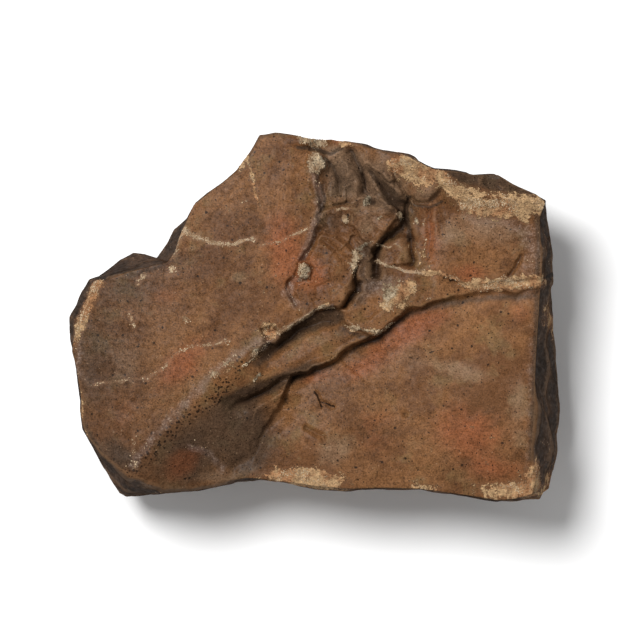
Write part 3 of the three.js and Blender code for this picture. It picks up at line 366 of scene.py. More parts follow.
# Whitish frost of lime on edges: half width, strength, walk
FROST_BANDS = [
    (1.5, 0.9, [(-0.8, 49), (0.3, 46.7), (1.5, 40.7), (0.8, 33.7), (-2, 24), (-4.3, 20.3)]),
    (2, 0.8, [(-16, -6), (-21, -9.5), (-28, -13.5), (-36, -21.5), (-44, -30), (-51.5, -38), (-59, -48)]),
    (0.7, 1.3, [(-17, -10), (-13.2, -5.6), (-8.7, -2.9), (-3.3, 1), (1, 3.4), (6, 4.4)]),
    (3.4, 0.7, [(50, 34), (60, 33), (69, 29), (71, 20), (70, 8)]),
    (2, 0.8, [(-6.5, 12.5), (-9, 8.5), (-6, 4.5)]), (1.6, 0.6, [(-74, 4), (-76, -8), (-77, -18)]),
    (1.2, 0.45, [(70.5, -2), (70, -25), (69, -50)]), (1.8, 0.7, [(-40, -42), (-34, -44), (-30, -49)]),
    (4, 0.7, [(17, 9.5), (24, 10), (30, 12)]),
]
# Densely pitted ground along the crest: half width, strength, walk
PITTED_BANDS = [
    (2.9, 1.25, [(-22.7, -14.7), (-29, -21), (-31, -25.5), (-37, -29), (-44, -34.8), (-51.7, -42),
        (-59.3, -51.3)]),
]


# ------------------------------------------------------------------ shape maths


def clamp01(t):
    """The value held between 0 and 1."""
    return np.clip(t, 0.0, 1.0)


def ease(t):
    """A soft rise from 0 at 0 to 1 at 1."""
    t = clamp01(t)
    return t * t * (3 - 2 * t)


def soft_min(a, b, blend):
    """The smaller of two heights, with a rounded meeting about as wide as the blend."""
    h = clamp01(0.5 + 0.5 * (b - a) / blend)
    return b * (1 - h) + a * h - blend * h * (1 - h)


def soft_max(a, b, blend):
    """The larger of two heights, with the same rounding."""
    return -soft_min(-a, -b, blend)


def along_walk(x, y, walk):
    """Signed distance from an open walk, positive on its left, and the walk's third value nearby."""
    nearest = np.full(x.shape, np.inf)
    side = np.zeros(x.shape)
    found = []
    for a, b in zip(walk, walk[1:]):
        ex, ey = b[0] - a[0], b[1] - a[1]
        length = math.hypot(ex, ey)
        t = clamp01(((x - a[0]) * ex + (y - a[1]) * ey) / length**2)
        distance = np.hypot(x - a[0] - t * ex, y - a[1] - t * ey)
        across = (ex * (y - a[1]) - ey * (x - a[0])) / length
        tied = (np.abs(distance - nearest) < 1e-6) & (np.abs(across) > np.abs(side))
        closer = (distance < nearest - 1e-6) | tied
        nearest = np.where(closer, np.minimum(distance, nearest), nearest)
        side = np.where(closer, across, side)
        if len(a) > 2:
            found.append((distance, a[2] * (1 - t) + b[2] * t))
    signed = np.where(side < 0, -nearest, nearest)
    if not found:
        return signed, 0
    weights = np.zeros(x.shape)
    total = np.zeros(x.shape)
    for distance, value in found:
        weight = ((nearest + 0.3) / (distance + 0.3)) ** 6
        weights += weight
        total += weight * value
    return signed, total / weights


def depth_inside(x, y, outline):
    """Distance from a closed outline, positive inside it."""
    nearest = np.full(x.shape, np.inf)
    inside = np.zeros(x.shape, bool)
    for a, b in zip(outline, outline[1:] + outline[:1]):
        ex, ey = b[0] - a[0], b[1] - a[1]
        t = clamp01(((x - a[0]) * ex + (y - a[1]) * ey) / (ex * ex + ey * ey))
        nearest = np.minimum(nearest, np.hypot(x - a[0] - t * ex, y - a[1] - t * ey))
        if ey != 0:
            inside ^= ((a[1] > y) != (b[1] > y)) & (x < a[0] + (y - a[1]) * ex / ey)
    return np.where(inside, nearest, -nearest)


def cell_value(i, j, k):
    """Repeatable pseudo-random value from -1 to 1 for a whole-number cell."""
    n = (i * 374761393 + j * 668265263 + k * 1440662683) & 0xFFFFFFFF
    n = ((n ^ (n >> 13)) * 1274126177) & 0xFFFFFFFF
    return ((n ^ (n >> 16)) & 0xFFFF) / 32767.5 - 1


def in_cells(x, y, z, size):
    """Places measured in cells of the given size, and the whole-number cells that hold them."""
    place = [np.asarray(v, float) / size + np.zeros_like(x) for v in (x, y, z)]
    return place, [np.floor(v).astype(np.int64) for v in place]


def noise(x, y, z, size):
    """Smooth noise from -1 to 1 with cells of the given size."""
    place, cell = in_cells(x, y, z, size)
    share = [ease(v - c) for v, c in zip(place, cell)]
    total = np.zeros_like(x)
    for corner in product((0, 1), repeat=3):
        weight = math.prod(s if step else 1 - s for s, step in zip(share, corner))
        total += weight * cell_value(*(c + step for c, step in zip(cell, corner)))
    return total


def layered_noise(x, y, z, size, layers):
    """Noise in layers, each half the size and half the strength of the one before."""
    total = 0
    for layer in range(layers):
        total = total + noise(x + 17.3 * layer, y - 9.1 * layer, z + 5.7 * layer, size / 2**layer) / 2**layer
    return total


def hump(x, y, at, half, turn):
    """1 in the middle of a turned oval, fading outward over its half widths."""
    c, s = math.cos(math.radians(turn)), math.sin(math.radians(turn))
    dx, dy = x - at[0], y - at[1]
    return np.exp(-(((dx * c + dy * s) / half[0]) ** 2) - ((dy * c - dx * s) / half[1]) ** 2)


def patches(x, y, listed):
    """The listed ovals' shares at a point, added up."""
    return sum(share * hump(x, y, at, half, turn) for at, half, turn, share in listed)


def plateaus(value):
    """Flat plateaus with steep rises between them."""
    whole = np.floor(value)
    return whole + ease((value - whole - 0.35) / 0.3)


def reach(angle, outline):
    """Distance from the middle out to a closed clockwise outline, and the outline's third value there."""
    c, s = np.cos(angle), np.sin(angle)
    best = np.zeros(angle.shape)
    value = np.zeros(angle.shape)
    for a, b in zip(outline, outline[1:] + outline[:1]):
        slope = (b[0] - a[0]) * s - (b[1] - a[1]) * c
        slope = np.where(np.abs(slope) < 1e-12, 1e-12, slope)
        t = -(a[0] * s - a[1] * c) / slope
        far = (a[0] + (b[0] - a[0]) * t) * c + (a[1] + (b[1] - a[1]) * t) * s
        better = (t >= -1e-9) & (t <= 1 + 1e-9) & (far > best)
        best = np.where(better, far, best)
        if len(a) > 2:
            value = np.where(better, a[2] + (b[2] - a[2]) * t, value)
    return best, value


def scoops(x, y, z, size):
    """Shallow bowls with sharp ridges between them, as in broken stone: 0 in bowls, near 1 on ridges."""
    (px, py, pz), cell = in_cells(x, y, z, size)
    nearest = np.full(x.shape, 9.0)
    for step in product((-1, 0, 1), repeat=3):
        i, j, k = (c + s for c, s in zip(cell, step))
        dx = px - i - 0.5 - 0.45 * cell_value(i, j, k)
        dy = py - j - 0.5 - 0.45 * cell_value(j, k, i + 57)
        dz = pz - k - 0.5 - 0.45 * cell_value(k, i + 31, j)
        nearest = np.minimum(nearest, dx * dx + dy * dy + dz * dz)
    return nearest


def shards(x, y, size):
    """Height of small flat chips at random tilts, as in crushed stone."""
    (px, py, _), cell = in_cells(x, y, 0, size)
    nearest = np.full(x.shape, 9.0)
    height = np.zeros(x.shape)
    for step in product((-1, 0, 1), repeat=2):
        i, j = (c + s for c, s in zip(cell, step))
        dx = px - i - 0.5 - 0.45 * cell_value(i, j, 3)
        dy = py - j - 0.5 - 0.45 * cell_value(j, i, 8)
        far = dx * dx + dy * dy
        chip = dx * cell_value(i, j, 11) + dy * cell_value(i, j, 17) + 0.4 * cell_value(i, j, 23)
        height = np.where(far < nearest, chip, height)
        nearest = np.minimum(nearest, far)
    return size * height


def sloping(x, y, height, rise_x, rise_y, at_x, at_y):
    """Height of a flat ground that rises evenly from a place."""
    return height + rise_x * (x - at_x) + rise_y * (y - at_y)


def droop(past):
    """Square of the distance past a line, and nothing before it."""
    return np.maximum(past, 0) ** 2


def upper_ground(x, y):
    """Height of the slab, the rough middle and the right face, joined softly."""
    slab = sloping(x, y, *UPPER_SLAB)
    slab -= 0.0022 * droop(-38 - x) + 0.001 * droop(y - 25)
    slab -= 0.0012 * droop(-y - 20)
    return soft_min(slab, soft_max(sloping(x, y, *ROUGH_MIDDLE), sloping(x, y, *RIGHT_FACE), 2.5), 1)


def shoulder_height(x, y):
    """Height of the pale shoulder, falling both ways from its ridge."""
    past_ridge, _ = along_walk(x, y, SHOULDER_RIDGE)
    outer = 0.8 * past_ridge + 0.01 * past_ridge**2
    return SHOULDER_HEIGHT - np.where(past_ridge > 0, outer, -0.62 * past_ridge) - 2 * np.maximum(18 - x, 0)


def unbroken_top(x, y):
    """Height of the top before its breaks: the upper ground, its crest and the lower face."""
    past_crest, fall = along_walk(x, y, CREST_LINE)
    upper = soft_max(upper_ground(x, y), shoulder_height(x, y), 1.6)
    upper = upper - fall * 0.5 * (np.hypot(past_crest, CREST_ROUNDING) - past_crest)
    lower_face = soft_min(sloping(x, y, *LOWER_FACE_LEFT), sloping(x, y, *LOWER_FACE_RIGHT), 4)
    lower_face -= 0.0006 * droop(x - 48) + 0.0016 * droop(-38 - y)
    upper = soft_max(upper, lower_face - 3 * np.maximum(past_crest, 0), 2.5)
    past_lower, _ = along_walk(x, y, LOWER_FACE_EDGE)
    share = ease(0.5 + 0.5 * past_lower / 0.9)
    return upper * share + lower_face * (1 - share)


def top_height(x, y):
    """Height of the stone's top over a point, with its steps, breaks, grooves and grain.

    The drawn places wander a little, so that none of them looks ruled.
    """
    wx = x + 0.7 * layered_noise(x, y, 1.5, 5, 4)
    wy = y + 0.7 * layered_noise(x, y, 40.5, 5, 4)
    z = unbroken_top(wx, wy)
    for width, run, walk in STEPS:
        d, drop = along_walk(wx, wy, walk)
        z -= drop * ease(0.5 - 0.5 * d / width) * np.exp(-((np.maximum(-d, 0) / run) ** 2))
    for height, rise_x, rise_y, edge, outline in BREAK_FLATS:
        flat = sloping(wx, wy, height, rise_x, rise_y, *np.mean(outline, axis=0))
        z += (flat - z) * ease(0.5 + 0.5 * depth_inside(wx, wy, outline) / edge)
    for width, depth, walk in GROOVES:
        d, _ = along_walk(wx, wy, walk)
        z -= depth * np.exp(-((d / width) ** 2))
    for at, half, turn, height in HUMPS:
        z += height * hump(wx, wy, at, half, turn)
    broken = clamp01(patches(wx, wy, BROKEN_GROUND))
    z += 0.25 * layered_noise(x, y, 3, 26, 3) + (0.12 + 0.25 * broken) * layered_noise(x, y, 9, 9, 4)
    z += broken * (1.3 * (scoops(wx, wy, 0.3 * z, 7) - 0.35) + 0.45 * (scoops(wx, wy, 3, 3.1) - 0.35))
    z += 0.16 * broken * shards(wx, wy, 5.5)
    return z + (0.05 + 0.2 * broken) * layered_noise(x, y, 21, 2, 3)


def break_planes():
    """Direction and tilt in radians and distance in millimetres of each break face."""
    rim_x, rim_y, rim_z = np.array(WIDEST_LINE, float).T
    planes = []
    for direction_degrees, tilt_degrees, bite in BREAK_FACES:
        direction, tilt = math.radians(direction_degrees), math.radians(tilt_degrees)
        flat = rim_x * math.cos(direction) + rim_y * math.sin(direction)
        stand = flat * math.cos(tilt) - rim_z * math.sin(tilt)
        planes.append((direction, tilt, stand.max() - bite))
    return planes


def wall_reach(angle, height, edge_reach, edge_height, widest, widest_height, foot):
    """How far the wall stands from the middle at a height, with the break faces cut."""
    up = clamp01((height - widest_height) / (edge_height - widest_height))
    down = clamp01(1 - height / widest_height)
    upper = edge_reach + (widest - edge_reach) * (1 - up**UPPER_CURVE)
    lower = foot + (widest - foot) * (1 - down ** LOWER_CURVE[0]) ** LOWER_CURVE[1]
    r = np.where(height >= widest_height, upper, lower)
    for direction, tilt, distance in break_planes():
        facing = np.cos(angle - direction) * math.cos(tilt)
        cut = (distance + math.sin(tilt) * height) / np.where(facing > 0.2, facing, 1)
        r = np.where(facing > 0.2, soft_min(r, cut, BREAK_ROUNDING), r)
    return r


def broken_skin(x, y, z, widest_height):
    """Outward shift of a wall point: stepped fracture and wear, held back near the widest line."""
    share = 0.22 + 0.78 * ease(np.abs(z - widest_height) / 11)
    fracture = 1.1 * plateaus(2.4 * layered_noise(x, y, z, 34, 2))
    bowls = 6.5 * (scoops(x, y, 1.3 * z, 27) - 0.42) + 2.4 * (scoops(x, y, z, 11) - 0.4)
    fine = 0.35 * layered_noise(x, y, z, 5, 3)
    return share * (fracture + bowls + 0.5 * layered_noise(x, y, z, 13, 2)) + fine


# ------------------------------------------------------------------ the stone's mesh

# Cells across the top, rows of quads above and below the widest line, and the triangles kept in the end
TOP_CELLS = 340
TOP_POINTS = (TOP_CELLS + 1) ** 2
UPPER_ROWS = 22
LOWER_ROWS = 34
MOST_TRIANGLES = 196000

# How far from the top edge its wear reaches, and the nearness where nothing is near
EDGE_WEAR = 1.6
FAR_OFF = 20.0


def disc_grid(cells):
    """A square grid squeezed evenly into the unit disc: angle and share of the way out of each point."""
    g = np.linspace(-1, 1, cells + 1)
    a, b = np.meshgrid(g, g)
    a, b = a.ravel(), b.ravel()
    wide = np.abs(a) >= np.abs(b)
    out = np.where(wide, a, b)
    safe_a, safe_b = np.where(a == 0, 1, a), np.where(b == 0, 1, b)
    turn = np.where(wide, math.pi / 4 * b / safe_a, math.pi / 2 - math.pi / 4 * a / safe_b)
    return np.where(out < 0, turn + math.pi, turn), np.abs(out)


def grid_border(cells):
    """The grid's outer points, anticlockwise."""
    side = cells + 1
    i = np.arange(cells)
    return np.concatenate([i, i * side + cells, side * side - 1 - i, (cells - i) * side])


def stone_points():
    """Points, quads and rest ring of the stone, in its own millimetres."""
    angle, share = disc_grid(TOP_CELLS)
    radius = share * reach(angle, TOP_EDGE)[0]
    x, y = radius * np.cos(angle), radius * np.sin(angle)
    points = [np.column_stack([x, y, top_height(x, y)])]
    side = TOP_CELLS + 1
    corner = (np.arange(TOP_CELLS)[:, None] * side + np.arange(TOP_CELLS)[None, :]).ravel()
    quads = [np.column_stack([corner, corner + 1, corner + side + 1, corner + side])]
    ring = grid_border(TOP_CELLS)
    edge_angle, edge_reach, edge_height = angle[ring], radius[ring], points[0][ring, 2]
    widest, widest_height = reach(edge_angle, WIDEST_LINE)
    foot, _ = reach(edge_angle, REST_FACET)
    count = TOP_POINTS
    rows = [(i / UPPER_ROWS, 0) for i in range(1, UPPER_ROWS + 1)]
    rows += [(1, i / LOWER_ROWS) for i in range(1, LOWER_ROWS + 1)]
    for upper, lower in rows:
        height = (edge_height + (widest_height - edge_height) * upper) * (1 - lower)
        r = wall_reach(edge_angle, height, edge_reach, edge_height, widest, widest_height, foot)
        wx, wy = r * np.cos(edge_angle), r * np.sin(edge_angle)
        skinned = r + broken_skin(wx, wy, height, widest_height)
        out = soft_min(skinned, widest + 0.3 * noise(wx, wy, height, 4), OUTLINE_ROUNDING) / r
        points.append(np.column_stack([wx * out, wy * out, height]))
        below = count + np.arange(len(ring))
        quads.append(np.column_stack([ring, below, np.roll(below, -1), np.roll(ring, -1)]))
        ring = below
        count += len(ring)
    return np.vstack(points), np.vstack(quads), ring


def wear(points, quads, strength, rounds):
    """The points relaxed toward the mean of their neighbours, by one strength or one for each point."""
    a = np.concatenate([quads[:, i] for i in range(4)])
    b = np.concatenate([quads[:, (i + 1) % 4] for i in range(4)])
    ends, others = np.concatenate([a, b]), np.concatenate([b, a])
    ties = np.bincount(ends, minlength=len(points))
    for _ in range(rounds):
        mean = np.column_stack([np.bincount(ends, points[others, i], len(points)) for i in range(3)])
        mean /= np.maximum(ties, 1)[:, None]
        points = points + strength * (mean - points)
    return points


def point_normals(points, quads):
    """Unit normals of the points, facing outward."""
    across = np.cross(points[quads[:, 2]] - points[quads[:, 0]], points[quads[:, 3]] - points[quads[:, 1]])
    total = np.zeros_like(points)
    for i in range(3):
        for j in range(4):
            total[:, i] += np.bincount(quads[:, j], across[:, i], len(points))
    return total / np.maximum(np.linalg.norm(total, axis=1, keepdims=True), 1e-12)


def past_top_edge(points):
    """How far the points lie outside the top edge seen from above, and how far past it down the wall."""
    x, y, z = points.T
    outside = np.hypot(x, y) - reach(np.arctan2(y, x), TOP_EDGE)[0]
    edge_height = np.tile(z[grid_border(TOP_CELLS)], UPPER_ROWS + LOWER_ROWS)
    below = outside.copy()
    below[TOP_POINTS:] = np.hypot(outside[TOP_POINTS:], edge_height - z[TOP_POINTS:])
    return outside, below


def filling_box(points):
    """The points in metres, stretched a little to fill the frame's box."""
    low, high = points.min(axis=0), points.max(axis=0)
    box_low, box_high = np.array(cad_low), np.array(cad_high)
    return box_low + (points - low) / (high - low) * (box_high - box_low)


def standing_out(points, worn, quads):
    """How far the points stand out of a worn form of themselves; negative in hollows."""
    return ((points - worn) * point_normals(points, quads)).sum(axis=1)


def nearness(x, y, listed):
    """Distance to the nearest walk in half widths of it, more where the walk is faint."""
    best = np.full(x.shape, FAR_OFF)
    for half_width, faintness, walk in listed:
        best = np.minimum(best, np.abs(along_walk(x, y, walk)[0]) / half_width + faintness)
    return best


def bands(x, y, listed):
    """Greatest strength of the bands at a point, each fading off its walk over its half width."""
    share = np.zeros(x.shape)
    for half_width, strength, walk in listed:
        share = np.maximum(share, strength * np.exp(-((along_walk(x, y, walk)[0] / half_width) ** 2)))
    return share


def crust_share(x, y, z, below):
    """How much pale crust lies at a point: in its places on top, in streaks and on the buried side."""
    share = np.maximum(patches(x, y, CRUST_PATCHES), bands(x, y, CRUST_BANDS))
    share *= np.exp(-((np.maximum(below - 3, 0) / 7) ** 2))
    buried = ease((30 - z) / 30) * ease((below - 12) / 14)
    soil_side = 0.85 * buried * (0.55 + 0.9 * layered_noise(x, y, z, 24, 3))
    streaks = 0.9 * ease(below / 6) * (1.2 * layered_noise(x, y, 0.6 * z, 19, 3) - 0.55)
    return np.maximum(share, np.maximum(soil_side, streaks))


def crumbly_share(x, y, z, below):
    """How thickly crumbs stand at a point: along veins and on crust, lumps and frost, in clusters."""
    clusters = ease((layered_noise(x, y, z, 3.2, 2) + 0.25) / 0.9)
    on_veins = 1.5 * ease(1.3 - nearness(x, y, VEINS)) * ease(0.55 + layered_noise(x, y, z, 2.4, 2))
    on_crust = 0.45 * ease((crust_share(x, y, z, below) - 0.5) / 0.5) * clusters
    on_lumps = 1.7 * ease(1.4 * patches(x, y, LIMY_LUMPS) - 0.3) * clusters
    on_frost = 0.05 * bands(x, y, FROST_BANDS) ** 2 * clusters
    loose = np.maximum(np.maximum(on_veins, on_lumps), np.maximum(on_crust, on_frost))
    return loose * ease(1.4 - below / 9)


def dark_crack_nearness(x, y, z, below):
    """Distance to the nearest dark crack, on top or down the right wall, in half widths of it."""
    on_top = nearness(x, y, DARK_CRACKS) + 4 * ease((below - 1) / 3)
    down_wall = np.abs(y - 11.6 - 0.2 * (57 - z) - 0.8 * noise(x, y, z, 6)) / 0.45
    down_wall += 3 * ease((30 - z) / 14)
    return np.minimum(on_top, np.where((x > 60) & (below > -1), down_wall, FAR_OFF))


def new_mesh_piece(name, points, faces):
    """A piece of points and faces, put in the scene."""
    mesh = bpy.data.meshes.new(name)
    mesh.from_pydata(points.tolist(), [], faces)
    mesh.update()
    piece = bpy.data.objects.new(name, mesh)
    bpy.context.scene.collection.objects.link(piece)
    return piece


def paint(piece, name, values):
    """Keeps a value for each point of the piece under a name."""
    layer = piece.data.attributes.new(name, "FLOAT", "POINT")
    layer.data.foreach_set("value", np.ascontiguousarray(values, dtype=np.float32))


def thin_out(piece, most):
    """Merges the piece's flattest faces until about this many triangles are left."""
    count = sum(len(polygon.vertices) - 2 for polygon in piece.data.polygons)
    thin = piece.modifiers.new("thin", "DECIMATE")
    thin.ratio = most / count
    view = bpy.context.evaluated_depsgraph_get()
    lighter = bpy.data.meshes.new_from_object(piece.evaluated_get(view))
    piece.modifiers.clear()
    piece.data = lighter


def painted_stone():
    """The stone's piece, painted with the shares that its finish and its crumbs follow."""
    points, quads, rest_ring = stone_points()
    outside, below = past_top_edge(points)
    edge_wear = 0.5 * np.exp(-((outside / EDGE_WEAR) ** 2)) * (points[:, 2] > 8)
    points = wear(points, quads, edge_wear[:, None], 3)
    points[rest_ring, 2] = 0
    settled = wear(points, quads, 0.8, 14)
    piece = new_mesh_piece("stone", filling_box(points), quads.tolist() + [rest_ring[::-1].tolist()])
    piece.data.polygons.foreach_set("use_smooth", np.ones(len(piece.data.polygons), bool))
    x, y, z = points.T
    wx = x + 0.5 * layered_noise(x, y, z, 3, 2)
    wy = y + 0.5 * layered_noise(x, y, z + 30, 3, 2)
    paint(piece, "vein", nearness(wx, wy, VEINS) + 0.5 * np.maximum(below - 2, 0))
    paint(piece, "crust", crust_share(wx, wy, z, below))
    paint(piece, "crack", dark_crack_nearness(wx, wy, z, below))
    paint(piece, "redder", patches(x, y, REDDER_GROUND))
    paint(piece, "greyer", patches(x, y, GREYER_GROUND))
    # Darker ground, partly painted shade in grooves, under ledges and on slopes that face away from the
    # light
    paint(piece, "darker_and_shaded", np.maximum(patches(wx, wy, DARKER_AND_SHADED_GROUND), bands(wx, wy, SOIL_AND_SHADE_BANDS)))
    # Lighter ground, and painted shade where the share is negative
    paint(piece, "lighter_and_shaded", patches(x, y, LIGHTER_AND_SHADED_GROUND))
    paint(piece, "frost", bands(wx, wy, FROST_BANDS))
    paint(piece, "pitted", bands(wx, wy, PITTED_BANDS))
    paint(piece, "limy", patches(wx, wy, LIMY_LUMPS) * ease(1.6 - below / 5))
    paint(piece, "crumbly", crumbly_share(wx, wy, z, below))
    paint(piece, "wall", below)
    # Depth in broad hollows, where painted shade with soil darkens the colour
    paint(piece, "basin_shade", -standing_out(points, wear(settled, quads, 0.9, 60), quads))
    paint(piece, "bulge", standing_out(points, settled, quads))
    paint(piece, "fine_bulge", standing_out(points, wear(points, quads, 0.7, 3), quads))
    thin_out(piece, MOST_TRIANGLES)
    return piece


# ------------------------------------------------------------------ finishes


class Value:
    """A socket of a node tree that can be used in Python sums."""

    def __init__(self, nodes, socket):
        self.nodes = nodes
        self.socket = socket

    def maths(self, operation, *values):
        return self.nodes.node("ShaderNodeMath", {"operation": operation}, dict(enumerate(values)))

    def __add__(self, other):
        return self.maths("ADD", self, other)

    def __radd__(self, other):
        return self.maths("ADD", other, self)

    def __sub__(self, other):
        return self.maths("SUBTRACT", self, other)

    def __rsub__(self, other):
        return self.maths("SUBTRACT", other, self)

    def __mul__(self, other):
        return self.maths("MULTIPLY", self, other)

    def __rmul__(self, other):
        return self.maths("MULTIPLY", other, self)

    def at_least(self, other):
        return self.maths("MAXIMUM", self, other)

    def at_most(self, other):
        return self.maths("MINIMUM", self, other)

    def between(self, low, high):
        """0 below low, 1 above high and a soft rise between; falls instead if low is the larger."""
        inputs = {"Value": self, "From Min": low, "From Max": high, "To Min": 0.0, "To Max": 1.0}
        if low > high:
            inputs |= {"From Min": high, "From Max": low, "To Min": 1.0, "To Max": 0.0}
        return self.nodes.node("ShaderNodeMapRange", {"interpolation_type": "SMOOTHSTEP"}, inputs)


class Nodes:
    """A node tree being written."""

    def __init__(self, tree):
        self.tree = tree

    def node(self, kind, settings, inputs, outlet=0):
        """Adds a node, its settings first and then what its sockets hold, and gives one of its outputs."""
        made = self.tree.nodes.new(kind)
        for name, value in settings.items():
            setattr(made, name, value)
        for name, value in inputs.items():
            self.feed(made.inputs[name], value)
        return Value(self, made.outputs[outlet]) if made.outputs else None

    def feed(self, socket, value):
        """Links or sets a socket."""
        if isinstance(value, Value):
            self.tree.links.new(value.socket, socket)
        else:
            socket.default_value = value


class Finish(Nodes):
    """One material, its shader and the nodes that drive it."""

    def __init__(self, name, **uniform):
        self.material = bpy.data.materials.new(name)
        self.material.use_nodes = True
        super().__init__(self.material.node_tree)
        self.shader = self.tree.nodes["Principled BSDF"]
        for socket, value in uniform.items():
            self.shader.inputs[socket.replace("_", " ")].default_value = value
        self.place = self.node("ShaderNodeTexCoord", {}, {}, "Object")

    def drive(self, **sockets):
        """Feeds sockets of the shader, named with underscores for spaces."""
        for name, value in sockets.items():
            self.feed(self.shader.inputs[name.replace("_", " ")], value)

    def painted(self, name):
        """The value painted on the mesh under a name."""
        return self.node("ShaderNodeAttribute", {"attribute_name": name}, {}, "Fac")

    def clouds(self, size_mm, detail, rough=0.55):
        """Noise about 0, from -0.5 to 0.5, with features of a size."""
        inputs = {"Vector": self.place, "Scale": 1000.0 / size_mm, "Detail": detail, "Roughness": rough}
        return self.node("ShaderNodeTexNoise", {}, inputs) - 0.5

    def pits(self, spacing_mm, radius, widened=0.0):
        """1 in small round pits about spacing apart, 0 between them; their radius may be widened."""
        wobble = {"Vector": self.place, "Scale": 900.0, "Detail": 1.0}
        nudge = self.node("ShaderNodeTexNoise", {}, wobble, "Color")
        shift = self.node("ShaderNodeVectorMath", {"operation": "SCALE"}, {0: nudge, "Scale": 0.0006})
        place = self.node("ShaderNodeVectorMath", {"operation": "ADD"}, {0: self.place, 1: shift})
        cells = {"Vector": place, "Scale": 1000.0 / spacing_mm, "Randomness": 1.0}
        near = self.node("ShaderNodeTexVoronoi", {}, cells, "Distance")
        return (near - widened).between(radius, radius * 0.45)

    def blend(self, share, one, other):
        """Colour one where share is 0 and the other where it is 1."""
        return self.node("ShaderNodeMix", {"data_type": "RGBA"}, {0: share, 6: one, 7: other}, 2)

    def shade(self, colour, factor):
        """The colour made lighter or darker by a factor."""
        return self.node("ShaderNodeVectorMath", {"operation": "SCALE"}, {0: colour, "Scale": factor})

    def bump(self, height, depth_mm):
        """The normal of a surface raised by a height from 0 to 1, which stands for a depth."""
        inputs = {"Height": height, "Distance": depth_mm / 1000.0, "Strength": 1.0}
        return self.node("ShaderNodeBump", {}, inputs)


# Colours as they show, from 0 to 255
# Some tones stand for light: the shadow, soil, hollow and varnish tones are partly painted shade, the rubbed
# edge tone partly a painted highlight
TONES = {
    "dark brown": (102, 68, 42), "brown": (132, 91, 57), "olive": (112, 92, 60), "rust": (142, 84, 52),
    "grey brown": (138, 110, 86), "shadow": (70, 57, 46), "rusty shadow": (88, 56, 38),
    "shaded black varnish": (46, 36, 29), "shaded brown varnish": (84, 62, 46), "soil and shade": (48, 33, 23),
    "hollow_shade": (50, 34, 23), "rubbed and lit edge": (160, 124, 92), "pit": (32, 22, 17), "mist": (142, 122, 114),
    "frost": (180, 160, 144), "lime speck": (190, 158, 126), "dust": (146, 104, 74),
    "buff crust": (188, 138, 98), "cream crust": (212, 174, 130), "crust pit": (74, 50, 34),
    "grey lump": (130, 116, 94), "pale lump": (186, 170, 144), "vein halo": (168, 128, 98),
    "buff vein": (196, 158, 122), "white vein": (226, 202, 172), "dull crumb": (158, 128, 98),
    "pale crumb": (222, 198, 164),
}

# Surfaces are this much darker than they show, because the studio's light is strong
LIGHT_GAIN = 0.71


def tone(name):
    """One of the tones as the linear colour of the surface that shows it."""
    shown = [value / 255 for value in TONES[name]]
    linear = [v / 12.92 if v <= 0.04045 else ((v + 0.055) / 1.055) ** 2.4 for v in shown]
    return (*(LIGHT_GAIN * v for v in linear), 1.0)


def ground_colour(rock, broad, drift, middling, fleck):
    """Brown ground with redder and greyer drifts, darker ground that is partly painted shade, and lighter
    ground with painted shade where its share is negative.
    """
    colour = rock.blend((broad + 0.5 * middling).between(-0.16, 0.16), tone("dark brown"), tone("brown"))
    colour = rock.blend((drift + 0.5 * middling).between(0.0, 0.2) * 0.5, colour, tone("olive"))
    reddened = (rock.painted("redder") + 0.9 * middling + 0.9 * drift).between(0.2, 1.0)
    colour = rock.blend(reddened * 0.85, colour, tone("rust"))
    greyed = (rock.painted("greyer") + 0.8 * middling + 0.8 * drift).between(0.2, 1.0)
    colour = rock.blend(greyed * 0.8, colour, tone("grey brown"))
    # Darker ground, partly painted shade, in the shadow tones
    shadowed = (rock.painted("darker_and_shaded") + 0.7 * middling).between(0.05, 0.95)
    colour = rock.blend(shadowed * 0.78, colour, rock.blend(reddened, tone("shadow"), tone("rusty shadow")))
    # Lighter ground, and painted shade where the painted share is negative
    lightness = 1 + 0.3 * rock.painted("lighter_and_shaded") + 0.35 * middling + fleck
    return rock.shade(colour, lightness.at_least(0.35))


def varnish_and_shade_colour(rock, broad, middling, fleck):
    """Dark desert varnish of the walls, partly painted shade of walls that turn away from the light."""
    colour = rock.blend((broad + middling).between(-0.2, 0.3), tone("shaded black varnish"), tone("shaded brown varnish"))
    return rock.shade(colour, (1 + fleck).at_least(0.3))


def pits_and_cracks(rock, drift, middling, small):
    """1 in small scattered pits, in the ridge's crowded pits and in dark cracks."""
    pitted = rock.painted("pitted")
    clustered = (drift + 0.6 * middling).between(-0.24, 0.06)
    speckled = rock.pits(1.5, 0.17, 0.16 * small) * clustered
    crowded = rock.pits(1.25, 0.3, 0.12 * pitted + 0.4 * small - 0.06)
    crowded = crowded * (pitted + middling).between(0.3, 0.8)
    cracked = (rock.painted("crack") + 1.6 * small).between(1.3, 0.7)
    return speckled.at_least(rock.pits(4.2, 0.12)).at_least(cracked).at_least(crowded)


def frosted(rock, colour, middling, small, grain):
    """The colour under a mist and specks of lime frost."""
    misted = (rock.painted("frost") + 1.2 * middling + 0.8 * small).between(0.2, 1.1)
    colour = rock.blend(misted * 0.34, colour, tone("mist"))
    thick = misted * (grain + 0.5 * small).between(0.03, 0.15)
    colour = rock.blend(thick * 0.55, colour, tone("frost"))
    specks = rock.pits(1.9, 0.15, 0.3 * middling) * grain.between(-0.05, 0.1)
    return rock.blend(specks * 0.45, colour, tone("lime speck"))


def crust_colour(rock, drift, middling, small, grain):
    """Pale buff crust, uneven and pocked."""
    colour = rock.blend((drift + middling).between(-0.12, 0.12), tone("buff crust"), tone("cream crust"))
    colour = rock.shade(colour, (1 + 0.9 * middling + 2.2 * small + 1.8 * grain).at_least(0.4))
    return rock.blend(rock.pits(1.1, 0.22, 0.6 * small) * 0.8, colour, tone("crust pit"))


def lump_colour(rock, small, grain):
    """Grey limy lumps."""
    colour = rock.blend((small + grain).between(-0.15, 0.15), tone("grey lump"), tone("pale lump"))
    return rock.shade(colour, (1 + 2.4 * small + 2 * grain).at_least(0.4))


